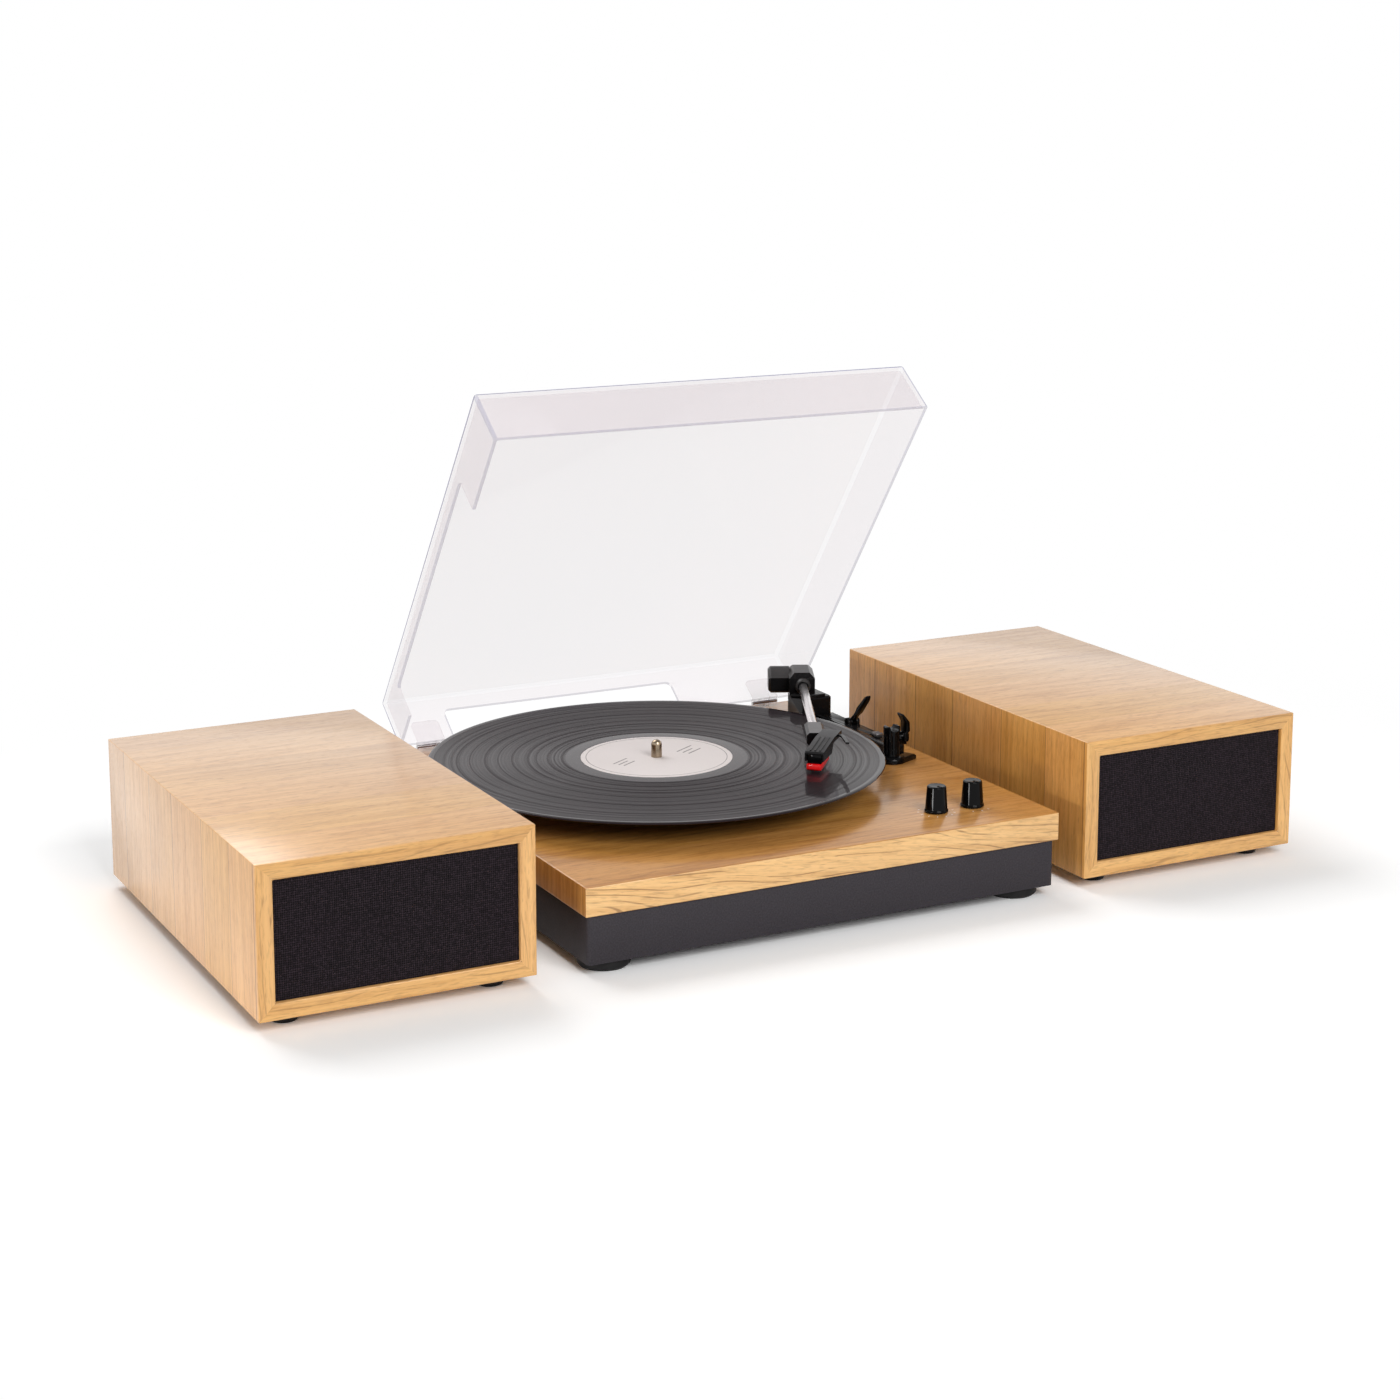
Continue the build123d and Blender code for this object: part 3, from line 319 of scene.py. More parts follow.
def moulded_group(name):
    """Moulded or metal surface: slow drift of tone, fine grain, uneven roughness."""
    ins, result = new_group(name, {"Vector": "Vector", "Color": "Color", "Drift": "Float", "Speckle": "Float",
                                   "Grain": "Float", "Rough": "Float", "Spread": "Float"})
    drift = noise(ins["Vector"], 38.0, 3.0)
    grain = noise(ins["Vector"], ins["Grain"], 2.0, 0.6)
    smear = noise(ins["Vector"], 160.0, 3.0, 0.6)
    level = ((drift - 0.5) * ins["Drift"] + (grain - 0.5) * ins["Speckle"]) * 2.0 + 1.0
    fill(result, {"Color": tinted(ins["Color"], grey(level)), "Height": grain,
                  "Roughness": ins["Rough"] + (smear - 0.5) * (ins["Spread"] * 2.0)})


def weave_group(name):
    """Plain weave in the grille's plane: threads that pass over and under each other, their colour darkened as painted
    shade where they dip and lightened as painted highlight where they rise.
    """
    ins, result = new_group(name, {"Vector": "Vector", "Color": "Color", "Pitch": "Float"})
    parts = split(ins["Vector"])
    wobble = (noise(ins["Vector"], 420.0, 2.0) - 0.5) * 0.55
    across = parts[0] / ins["Pitch"] + wobble
    along = parts[2] / ins["Pitch"] - wobble

    def thread(place, other, sign):
        """Height of one set of threads: round in section, lifted over every second thread of the other set."""
        row = calc("FLOOR", place)
        off = place - row - 0.5
        turn = (other - 0.5 + row) * math.pi
        return 1.0 - off * off * 4.0 + calc("COSINE", turn) * (0.5 * sign), row
    warp, warp_row = thread(across, along, 1.0)
    weft, weft_row = thread(along, across, -1.0)
    height = calc("MAXIMUM", warp, weft)
    fleck = derive("TexWhiteNoise", {"Vector": joined(warp_row, weft_row)}, "Value", noise_dimensions="2D")
    # Painted shade and highlight: the thread colour goes nearly black in the hollows and brighter on the crowns; the
    # fleck is a random tone for each crossing.
    level = ramp(height, 0.35, 1.5, 0.03, 1.9) * ramp(fleck, 0.0, 1.0, 0.65, 1.4)
    fill(result, {"Color": tinted(ins["Color"], grey(level)), "Roughness": ramp(height, 0.2, 1.4, 0.95, 0.72),
                  "Height": height})


def groove_group(name):
    """Pressed disc: fine grooves, rings of loud and quiet music, gaps between tracks, dead wax and rim."""
    ins, result = new_group(name, {"Vector": "Vector", "Color": "Color", "Pitch": "Float"},
                            ("Color", "Roughness", "Gloss", "Height"))
    x, y, _ = split(ins["Vector"])
    radius = calc("SQRT", x * x + y * y)
    music = ramp(radius, 0.0595, 0.0605) * ramp(radius, 0.1462, 0.1470, 1.0, 0.0)
    wave = calc("SINE", radius * (2 * math.pi) / ins["Pitch"])
    ring = joined(radius)
    loud = noise(ring, 1900.0, 3.0, 0.7)
    band = ramp(noise(ring, 420.0, 3.0, 0.6), 0.36, 0.64)
    gap = None
    for place, wide in TRACK_GAPS:
        one = ramp(calc("ABSOLUTE", radius - place), wide * 0.3, wide, 1.0, 0.0)
        gap = one if gap is None else calc("MAXIMUM", gap, one)
    smear = noise(ins["Vector"], 30.0, 3.0, 0.6)
    # The vinyl's colour is drawn lighter in loud rings, a painted sheen for the haze of wide grooves. The smear adds a
    # random tone.
    level = ramp(loud, 0.3, 0.75, 0.7, 1.4) * ramp(smear, 0.3, 0.7, 0.85, 1.15)
    quiet = (ramp(loud, 0.35, 0.65) * 0.45 + band * 0.55) * (1.0 - gap)
    fill(result, {"Color": mix(music, ins["Color"], tinted(ins["Color"], grey(level))),
                  "Roughness": music * ramp(quiet, 0.0, 1.0, 0.26, 0.18) + 0.12,
                  "Gloss": 0.52 - music * (0.44 - quiet * 0.44),
                  "Height": music * (wave * 0.35 + loud) - gap * 0.5})


GROUP_MAKERS = {"oak_veneer": oak_group, "moulded_grain": moulded_group, "plain_weave": weave_group,
                "record_grooves": groove_group}


# Finishes

def blank_material(name, **values):
    """Material with its Principled shader set to plain values."""
    material = bpy.data.materials.new(name + "_finish")
    material.use_nodes = True
    shader = material.node_tree.nodes["Principled BSDF"]
    fill(shader, {key.replace("_", " "): value for key, value in values.items()})
    return material, material.node_tree, shader


def made_once(maker):
    """Make a finish the first time it is asked for, and find it by its name after that."""
    def finish(name, *args, **values):
        return bpy.data.materials.get(name + "_finish") or maker(name, *args, **values)
    return finish


def object_point(tree, centre=None):
    """Object coordinates, measured from a centre."""
    point = Signal(put(tree, "TexCoord"), "Object")
    return point if centre is None else derive("Mapping", {"Vector": point, "Location": -centre})


def wear_surface(shader, group, strength, distance, inputs):
    """Place a shared group, building it the first time, and join its outputs to the shader."""
    if group not in bpy.data.node_groups:
        GROUP_MAKERS[group](group)
    node = put(shader.id_data, "Group", inputs, node_tree=bpy.data.node_groups[group])
    bump = derive("Bump", {"Height": Signal(node, "Height"), "Strength": strength, "Distance": distance})
    fill(shader, {"Base Color": Signal(node, "Color"), "Roughness": Signal(node, "Roughness"), "Normal": bump})
    return node


@made_once
def oak_material(name, along, across, joint, figure, tones=None, plank=None, turn=0.0, coarse=1.0, lacquer=1.0):
    """Oak finish whose grain runs along one axis and whose leaves lie side by side along another."""
    oak = settings("oak")
    light, dark = (srgb(*tone) for tone in tones) if tones else (tuple(oak.light), tuple(oak.dark))
    material, tree, shader = blank_material(name, Specular_IOR_Level=0.12, Coat_Weight=lacquer, Coat_Roughness=0.2,
                                            Coat_IOR=1.5)
    parts = split(object_point(tree))
    grain = joined(parts[along], parts[across], parts[3 - along - across])
    if turn or coarse != 1.0:
        grain = derive("Mapping", {"Vector": grain, "Rotation": (0, 0, turn), "Scale": (1, 1 / coarse, 1)})
    wear_surface(shader, "oak_veneer", 0.22, 0.0003, {
        "Grain": grain, "Light": light, "Dark": dark, "Pore": tuple(oak.pore),
        "Plank": (plank or oak.plank) / coarse, "Joint": joint, "Figure": figure})
    return material


@made_once
def moulded_material(name, colour, rough, shine=0.5, metallic=0.0, grain=2500.0, drift=0.1, speckle=0.08, bump=0.08,
                     **extra):
    """Plastic, rubber, paper or metal with fine grain."""
    material, tree, shader = blank_material(name, Metallic=metallic, Specular_IOR_Level=shine, **extra)
    wear_surface(shader, "moulded_grain", bump, 0.0002, {
        "Vector": object_point(tree), "Color": colour, "Drift": drift, "Speckle": speckle, "Grain": grain,
        "Rough": rough, "Spread": 0.06})
    return material


@made_once
def clear_material(name, colour, hold, shine=0.5, rise=0.0):
    """Clear acrylic: a faint haze, more colour at a slant, and a light shadow."""
    material, tree, shader = blank_material(name, IOR=1.49, Roughness=0.06, Specular_IOR_Level=shine)
    drift = ramp(noise(object_point(tree), 7.0, 3.0), 0.3, 0.7, 0.94, 1.06)
    if rise:
        slant = ramp(Signal(put(tree, "LayerWeight", {"Blend": 0.5}), "Facing"), 0.46, 0.62)
    else:
        slant = Signal(put(tree, "LayerWeight", {"Blend": 0.18}), "Fresnel")
    fill(shader, {"Base Color": tinted(colour, grey(drift)),
                  "Alpha": calc("MULTIPLY_ADD", slant, rise or 0.05, hold)})
    pass_light = put(tree, "BsdfTransparent", {"Color": (0.97, 0.965, 0.97, 1)})
    choice = derive("MixShader", {0: Signal(put(tree, "LightPath"), "Is Shadow Ray"), 1: Signal(shader),
                                  2: Signal(pass_light)})
    fill(tree.nodes["Material Output"], {"Surface": choice})
    return material


# Colour (a setting or screen values), roughness and other values of each moulded finish
FINISHES = {
    "satin_black": ("black", 0.24, dict(shine=0.16)),
    "gloss_black": ("knob", 0.07, dict(bump=0.02, shine=0.12)),
    # Painted sheen: greys that upward faces of the black arm parts take in place of the black, for the light they
    # catch.
    "facet_grey": ((52, 50, 50), 0.32, dict(shine=0.2)),
    "collar_grey": ((88, 86, 86), 0.30, dict(shine=0.2)),
    "facet_dark": ((30, 29, 30), 0.32, dict(shine=0.2)),
    "textured_base": ("base", 0.62, dict(grain=1000.0, speckle=0.75, bump=0.55, shine=0.3)),
    "foot_rubber": ((20, 19, 20), 0.55, dict(grain=1800.0, bump=0.15, shine=0.2)),
    "arm_silver": ((226, 222, 222), 0.24, dict(metallic=1.0, speckle=0.03)),
    "bright_steel": ((212, 210, 206), 0.16, dict(metallic=1.0, speckle=0.03)),
    "spindle_nickel": ((158, 142, 122), 0.17, dict(metallic=1.0, speckle=0.03)),
    "plain_steel": ((176, 174, 172), 0.34, dict(metallic=1.0)),
    "turned_brass": ((206, 168, 96), 0.28, dict(metallic=1.0)),
    "stylus_red": ("stylus", 0.2, dict(speckle=0.02, bump=0.02, Subsurface_Weight=0.1, Subsurface_Scale=0.001)),
    "switch_metal": ((120, 118, 120), 0.3, dict(metallic=0.8)),
    "board_green": ((28, 88, 52), 0.4, {}),
    "pressed_board": ((120, 94, 66), 0.8, dict(grain=1200.0, speckle=0.4, bump=0.4)),
    "cone_paper": ((40, 39, 40), 0.85, dict(grain=1500.0, speckle=0.3, bump=0.4)),
    "mark_white": ((238, 234, 226), 0.6, dict(bump=0.02)),
    "label_ink": ((128, 124, 122), 0.7, dict(speckle=0.2, bump=0.02)),
}


def finish_material(name):
    """One of the moulded finishes, by name."""
    colour, rough, extra = FINISHES[name]
    colour = tuple(getattr(settings("moulded"), colour)) if isinstance(colour, str) else srgb(*colour)
    return moulded_material(name, colour, rough, **extra)


# Modelling in edit mode

def deselect():
    if bpy.context.mode != "OBJECT":
        bpy.ops.object.mode_set(mode="OBJECT")
    bpy.ops.object.select_all(action="DESELECT")


def activate(piece):
    """Select this piece alone and make it the active one."""
    deselect()
    piece.select_set(True)
    bpy.context.view_layer.objects.active = piece


def settle(piece):
    """Put a piece's place, turn and scale into its mesh."""
    activate(piece)
    bpy.ops.object.transform_apply(location=True, rotation=True, scale=True)


def start_edit(piece):
    activate(piece)
    bpy.ops.object.mode_set(mode="EDIT")


def end_edit():
    bpy.ops.object.mode_set(mode="OBJECT")


def new_piece(name):
    """The primitive that was just added, under its own name, with its place in its mesh."""
    piece = bpy.context.active_object
    piece.name = name
    piece.data.name = name
    settle(piece)
    return piece


def box_piece(name, low, high):
    """Cube primitive between two corners."""
    deselect()
    low, high = Vector(low), Vector(high)
    bpy.ops.mesh.primitive_cube_add(size=1.0, location=(low + high) / 2, scale=high - low)
    return new_piece(name)


def join_to(whole, piece, place):
    """Move a small piece to its place, and join it to those before it if there are any."""
    piece.matrix_world = place
    settle(piece)
    if whole is None:
        return piece
    whole.select_set(True)
    bpy.context.view_layer.objects.active = whole
    bpy.ops.object.join()
    return whole


def select_mesh(action="SELECT"):
    bpy.ops.mesh.select_all(action=action)


def pick(piece, kind, test):
    """In edit mode, select the faces or edges that pass a test, and only those."""
    bpy.ops.mesh.select_mode(type=kind)
    select_mesh("DESELECT")
    mesh = bmesh.from_edit_mesh(piece.data)
    for item in mesh.faces if kind == "FACE" else mesh.edges:
        if test(item):
            item.select_set(True)
    mesh.select_flush_mode()
    bmesh.update_edit_mesh(piece.data)


def bevel_edges(piece, test, width, segments):
    """Bevel the edges that pass a test."""
    start_edit(piece)
    pick(piece, "EDGE", test)
    bpy.ops.mesh.bevel(offset=width, segments=segments, affect="EDGES")
    end_edit()


def close_mesh(merge):
    """In edit mode, merge doubles and turn the normals outwards."""
    select_mesh()
    bpy.ops.mesh.remove_doubles(threshold=merge)
    bpy.ops.mesh.normals_make_consistent(inside=False)


def sort_mesh(piece):
    """In edit mode, list edges and faces by their corners, because spin lists them in another order each run."""
    mesh = bmesh.from_edit_mesh(piece.data)
    mesh.verts.index_update()

    def rank(item):
        total = 0.0
        for index in sorted(vertex.index for vertex in item.verts):
            total = total * MOST_CORNERS + index
        return total
    mesh.edges.sort(key=rank)
    mesh.faces.sort(key=rank)
    bmesh.update_edit_mesh(piece.data)


def apply_modifier(piece, kind, **values):
    """Add a modifier with these values and apply it."""
    activate(piece)
    modifier = piece.modifiers.new(kind.title(), kind)
    for key, value in values.items():
        setattr(modifier, key, value)
    bpy.ops.object.modifier_apply(modifier=modifier.name)


def carve(piece, cutter):
    """Cut one piece out of another and remove it."""
    apply_modifier(piece, "BOOLEAN", object=cutter, operation="DIFFERENCE", solver="EXACT")
    bpy.data.objects.remove(cutter)


def smooth_shade(piece, angle):
    activate(piece)
    bpy.ops.object.shade_smooth_by_angle(angle=math.radians(angle))


def soften(piece, width, segments=2, angle=35.0, smooth=40.0):
    """Round the sharp edges and shade the piece smoothly between them."""
    apply_modifier(piece, "BEVEL", width=width, segments=segments, limit_method="ANGLE",
                   angle_limit=math.radians(angle), use_clamp_overlap=True, miter_outer="MITER_ARC")
    smooth_shade(piece, smooth)


def turned_piece(name, profile, centre, steps=96):
    """Piece of revolution about an upright axis: one point drawn along a (radius, z) profile and spun."""
    deselect()
    bpy.ops.mesh.primitive_plane_add(size=0.001)
    piece = new_piece(name)
    start_edit(piece)
    select_mesh()
    bpy.ops.mesh.merge(type="CENTER")
    place = [Vector((centre[0] + r, centre[1], z)) for r, z in profile]
    bpy.ops.transform.translate(value=place[0])
    for here, there in zip(place, place[1:]):
        bpy.ops.mesh.extrude_region_move(TRANSFORM_OT_translate={"value": there - here})
    select_mesh()
    bpy.ops.mesh.spin(steps=steps, angle=2 * math.pi, center=(centre[0], centre[1], 0.0), axis=(0, 0, 1))
    close_mesh(2e-6)
    sort_mesh(piece)
    end_edit()
    return piece


def node_piece(node, name, width=0.0, angle=35.0):
    """Copy of a CAD node with its flats joined and its edges rounded, to stand for the node."""
    source = frame["nodes"][node]
    piece = source.copy()
    piece.data = source.data.copy()
    piece.name = name
    piece.data.name = name
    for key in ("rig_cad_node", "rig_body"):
        if key in piece:
            del piece[key]
    piece.parent = None
    piece.data.materials.clear()
    bpy.context.scene.collection.objects.link(piece)
    activate(piece)
    if piece.data.has_custom_normals:
        bpy.ops.mesh.customdata_custom_splitnormals_clear()
    start_edit(piece)
    select_mesh()
    bpy.ops.mesh.remove_doubles(threshold=2e-6)
    bpy.ops.mesh.dissolve_limited(angle_limit=math.radians(0.5))
    end_edit()
    if width:
        soften(piece, width, angle=angle)
    else:
        smooth_shade(piece, angle)
    return piece


def set_materials(piece, *materials):
    piece.data.materials.clear()
    for material in materials:
        piece.data.materials.append(material)


def paint_faces(piece, materials, choose):
    """Give each face the material that choose() names by number."""
    set_materials(piece, *materials)
    for face in piece.data.polygons:
        face.material_index = choose(face.center, face.normal)


def seat(piece, body, material=None, replaces=()):
    """Give a finished piece its material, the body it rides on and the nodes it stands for."""
    if material is not None:
        set_materials(piece, material)
    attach(piece, body)
    if replaces:
        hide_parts(*replaces)


def stand_in(node, name, body, finish, width=0.0, angle=35.0):
    """Finished copy of a CAD node, seated in the node's place."""
    seat(node_piece(node, name, width, angle), body, finish_material(finish), [node])


def dress(finish, *nodes):
    """Give a finish to CAD nodes that stay in view."""
    for node in nodes:
        set_materials(frame["nodes"][node], finish_material(finish))


class PlayerOperator:
    bl_options = {"REGISTER", "UNDO"}


class PLAYER_OT_deck_board(PlayerOperator, bpy.types.Operator):
    """Veneered board: rounded edges, grain along the front and turned down over the ends"""
    bl_idname = "player.deck_board"
    bl_label = "Deck board"

    def execute(self, context):
        piece = box_piece("veneered_board", *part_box("top_board"))
        # The top and ends take browner, darker oak than the paler front rail. This is partly the board's own tone and
        # partly painted shade for the shadow of the record and the speakers.
        warm = ((204, 147, 77), (164, 107, 49))
        pale = ((246, 200, 136), (216, 164, 100))
        top = oak_material("oak_deck_top", 0, 1, 0.15, 0.35, warm, coarse=1.7)
        rail = oak_material("oak_deck_rail", 0, 2, 0.0, 0.85, pale, plank=0.3, turn=math.radians(7))
        end = oak_material("oak_deck_end", 2, 1, 0.5, 0.2, warm)
        paint_faces(piece, [top, rail, end],
                    lambda centre, normal: 2 - max(range(3), key=lambda axis: abs(normal[axis])))
        soften(piece, settings("oak").edge, 3)
        seat(piece, "deck", replaces=["top_board"])
        return {"FINISHED"}


class PLAYER_OT_deck_base(PlayerOperator, bpy.types.Operator):
    """Textured black base with its bottom panel, feet and screws"""
    bl_idname = "player.deck_base"
    bl_label = "Deck base"

    def execute(self, context):
        stand_in("base_box", "textured_plinth", "deck", "textured_base", 0.0006)
        stand_in("deck_feet", "round_feet", "deck", "foot_rubber")
        dress("textured_base", "bottom_panel")
        dress("plain_steel", "case_screws")
        return {"FINISHED"}


class PLAYER_OT_record(PlayerOperator, bpy.types.Operator):
    """Grooved disc with its label, on the mat and platter, and the polished spindle"""
    bl_idname = "player.record"
    bl_label = "Record and platter"

    def execute(self, context):
        look = settings("record")
        self.disc(look, SPINDLE.z, DISC_UNDER)
        self.label(look, SPINDLE.z)
        self.print_label(SPINDLE.z)
        stand_in("spindle", "polished_spindle", "platter", "spindle_nickel")
        dress("satin_black", "platter")
        dress("foot_rubber", "platter_mat")
        return {"FINISHED"}

    def disc(self, look, top, under):
        """Disc with raised rim and label area on both faces."""
        profile = [(DISC_HOLE, under), (0.103, under), (0.105, under + 0.0002), (0.1465, under + 0.0002),
                   (0.149, under), (0.1500, under + 0.0003), (0.1505, under + 0.0009), (0.1500, top - 0.0003),
                   (0.149, top), (0.1480, top - 0.00006), (0.1465, top - 0.0002), (0.060, top - 0.0002),
                   (0.056, top), (0.0502, top), (0.0500, top - 0.0002), (DISC_HOLE, top - 0.0002), (DISC_HOLE, under)]
        disc = turned_piece("grooved_disc", profile, SPINDLE, 192)
        smooth_shade(disc, 30)
        material, tree, shader = blank_material("pressed_vinyl", Specular_IOR_Level=0.05, Anisotropic=1.0,
                                                Anisotropic_Rotation=0.25, Coat_Roughness=0.03, Coat_IOR=1.5)
        node = wear_surface(shader, "record_grooves", 0.12, 0.0001, {
            "Vector": object_point(tree, SPINDLE), "Color": tuple(look.vinyl), "Pitch": look.groove})
        round_axis = put(tree, "Tangent", direction_type="RADIAL", axis="Z")
        fill(shader, {"Coat Weight": Signal(node, "Gloss"), "Tangent": Signal(round_axis)})
        seat(disc, "platter", material, ["record"])

    def label(self, look, top):
        """Paper label with a soft edge."""
        edge = [(DISC_HOLE, top - 0.0002), (0.0499, top - 0.0002), (0.0499, top - 0.00008), (0.0497, top),
                (DISC_HOLE, top), (DISC_HOLE, top - 0.0002)]
        label = turned_piece("plain_label", edge, SPINDLE)
        smooth_shade(label, 30)
        paper = moulded_material("label_paper", tuple(look.label), 0.62, grain=1400.0, speckle=0.06, drift=0.04,
                                 bump=0.1)
        seat(label, "platter", paper, ["record_label"])

    def print_label(self, top):
        """Generic print on the label: a thin ring and a few plain bars."""
        ring = turned_piece("label_ring", [(0.0462, top), (0.0466, top), (0.0466, top + PRINT_THICK),
                                           (0.0462, top + PRINT_THICK), (0.0462, top)], SPINDLE)
        bars = [(-0.030, 0.014, 0.016, 0.0009), (-0.030, 0.010, 0.011, 0.0009), (-0.030, 0.006, 0.013, 0.0009),
                (0.017, -0.006, 0.018, 0.0010), (0.017, -0.0105, 0.012, 0.0010), (0.017, -0.015, 0.015, 0.0010)]
        place = Matrix.Translation(SPINDLE) @ Matrix.Rotation(math.radians(32), 4, "Z")
        for x, y, length, tall in bars:
            bar = box_piece("label_bar", (x, y, 0.0), (x + length, y + tall, PRINT_THICK))
            join_to(ring, bar, place)
        seat(ring, "platter", finish_material("label_ink"))


class PLAYER_OT_dust_cover(PlayerOperator, bpy.types.Operator):
    """Clear hood with its cut-outs, standing open on clear hinges"""
    bl_idname = "player.dust_cover"
    bl_label = "Dust cover"

    def execute(self, context):
        look = settings("cover")
        wall = Vector((look.wall, look.wall, look.wall))
        self.hood(look, HOOD_LOW + wall, HOOD_HIGH - wall)
        block = clear_material("clear_hinge", tuple(look.tint), 0.10, 0.3)
        for node, name, body in (("hinge_arms", "clear_hinge_leaves", "cover"),
                                 ("hinge_brackets", "clear_hinge_brackets", "deck")):
            seat(node_piece(node, name, SMALL_ROUND), body, block, [node])
        dress("plain_steel", "hinge_pins")
        return {"FINISHED"}

    def hood(self, look, low, high):
        """Hood cut from a block, its cavity between two inner corners, turned open about the hinge."""
        hood = box_piece("clear_hood", HOOD_LOW, HOOD_HIGH)
        cavity = box_piece("cavity_cutter", (low.x, low.y, BELOW_HOOD), high)
        for block, width, steps in ((hood, 0.0022, 4), (cavity, 0.0008, 2)):
            top = max(vertex.co.z for vertex in block.data.vertices) - 0.001
            bevel_edges(block, lambda edge: any(vertex.co.z > top for vertex in edge.verts), width, steps)
        carve(hood, cavity)
        for name, axis, start, end in (
                ("side_cutter", 0, (-0.160, -0.076, BELOW_HOOD), (-0.152, 0.122, CUT_TOP)),
                ("rear_cutter", 1, (-0.115, 0.150, BELOW_HOOD), (0.061, 0.158, CUT_TOP))):
            cutter = box_piece(name, start, end)
            bevel_edges(cutter, lambda edge: all(vertex.co.z > CUT_TOP - 0.002 for vertex in edge.verts)
                        and abs((edge.verts[0].co - edge.verts[1].co).normalized()[axis]) > 0.9, 0.004, 5)
            carve(hood, cutter)
        start_edit(hood)
        close_mesh(1e-6)
        end_edit()
        film = clear_material("clear_acrylic", tuple(look.tint), look.haze)
        rim = clear_material("acrylic_edge", tuple(look.edge), 0.28, 0.06)
        corner = clear_material("acrylic_corner", tuple(look.edge), 0.03, 0.06, 0.60)
        slack = 0.0006

        def choose(centre, normal):
            """Broad walls are film; outer roundings, the rim and the cut-outs' long walls show the edge colour."""
            outer = centre.z > high.z + slack or any(
                not low[axis] - slack < centre[axis] < high[axis] + slack for axis in (0, 1))
            if normal.z < -0.7:
                return 1 if centre.z < HOOD_SHOULDER else 0
            if max(abs(part) for part in normal) < 0.99:
                if not outer or 0.05 < abs(normal.z) and centre.z < HOOD_SHOULDER:
                    return 0
                return 1 if abs(normal.z) < 0.05 and centre.y < 0 else 2
            return 1 if abs(normal.x) > 0.9 and centre.y > high.y and abs(centre.x) < high.x else 0
        paint_faces(hood, [film, rim, corner], choose)
        soften(hood, 0.0003, 2, 60.0, 30.0)
        hood.matrix_world = (Matrix.Translation(HINGE) @ Matrix.Rotation(-look.opening, 4, "X")
                             @ Matrix.Translation(-HINGE))
        settle(hood)
        seat(hood, "cover", replaces=["dust_cover"])


class PLAYER_OT_tonearm(PlayerOperator, bpy.types.Operator):
    """Pivot housing, tube, headshell, cartridge and stylus"""
    bl_idname = "player.tonearm"
    bl_label = "Tonearm"

    def execute(self, context):
        stand_in("arm_tube", "silver_tube", "tonearm", "arm_silver", FINE_ROUND)
        stand_in("cartridge", "black_cartridge", "tonearm", "gloss_black", SMALL_ROUND)
        stand_in("stylus_holder", "stylus_grip", "tonearm", "stylus_red", FINE_ROUND)
        black_and_sheens = [finish_material(name) for name in ("satin_black", "facet_dark", "facet_grey", "collar_grey")]

        def along(centre):
            return (Vector((centre[0], centre[1], 0.0)) - PIVOT).dot(ARM_WAY)

        # Painted sheen: the housing's flat tops are dark grey and its sloped upper faces lighter grey, the rest black.
        # The ring past the body is grey all round.
        def housing_face(centre, normal):
            if along(centre) > 0.0195:
                return 2
            if normal.z > 0.985:
                return 1
            return 2 if normal.z > 0.5 and along(centre) < 0.012 else 0

        # Painted sheen: the headshell's collar top is light grey and its other upward faces dark grey, the rest black.
        def shell_face(centre, normal):
            if normal.z > 0.95:
                return 3 if along(centre) < 0.165 else 1
            return 1 if normal.z > 0.3 else 0
        for node, name, choose, width, slot in (
                ("pivot_housing", "faceted_housing", housing_face, 0.0005, "black_plastic"),
                ("headshell", "ribbed_headshell", shell_face, SMALL_ROUND, "headshell_grey")):
            piece = node_piece(node, name)
            paint_faces(piece, black_and_sheens, choose)
            soften(piece, width)
            seat(piece, "tonearm", replaces=[node])
        dress("satin_black", "arm_yoke")
        dress("plain_steel", "pivot_axle")
        return {"FINISHED"}


class PLAYER_OT_arm_fittings(PlayerOperator, bpy.types.Operator):
    """Turret, trim plate, cue lever, lift, switches, rest and clip"""
    bl_idname = "player.arm_fittings"
    bl_label = "Arm fittings"

    def execute(self, context):
        for node, name, body, finish, width in (
                ("tonearm_base", "arm_turret", "deck", "satin_black", PLAIN_ROUND),
                ("tonearm_plate", "trim_plate", "deck", "satin_black", SMALL_ROUND),
                ("arm_rest", "rest_post", "deck", "gloss_black", PLAIN_ROUND),
                ("arm_clip", "rest_clip", "arm_clip", "gloss_black", SMALL_ROUND),
                ("cue_lever", "lift_lever", "cue_lever", "gloss_black", SMALL_ROUND),
                ("lift_platform", "lift_bar", "lift_platform", "satin_black", SMALL_ROUND)):
            stand_in(node, name, body, finish, width)
        for node, name in (("speed_switch", "speed_slider"), ("auto_stop_switch", "stop_slider")):
            stand_in(node, name, node, "switch_metal", FINE_ROUND)
        return {"FINISHED"}


class PLAYER_OT_controls(PlayerOperator, bpy.types.Operator):
    """Two gloss black knobs and the plain marks printed beside them"""
    bl_idname = "player.controls"
    bl_label = "Knobs and marks"

    def execute(self, context):
        for node, name in (("volume_knob", "left_front_knob"), ("selector_knob", "right_front_knob")):
            stand_in(node, name, node, "gloss_black", PLAIN_ROUND, 12.0)
        marks = None
        for x, turns in zip(KNOB_X, (range(-140, 141, 28), (-30, 0, 30))):
            for turn in turns:
                tick = box_piece("printed_marks" if marks is None else "tick", (-0.00022, -0.0122, 0.0),
                                 (0.00022, -0.0108, PRINT_THICK))
                place = Matrix.Translation((x, KNOB_Y, BOARD_TOP)) @ Matrix.Rotation(math.radians(turn), 4, "Z")
                marks = join_to(marks, tick, place)
        seat(marks, "deck", finish_material("mark_white"))
        dress("plain_steel", "volume_shaft", "selector_shaft")
        dress("satin_black", "control_pots")
        return {"FINISHED"}


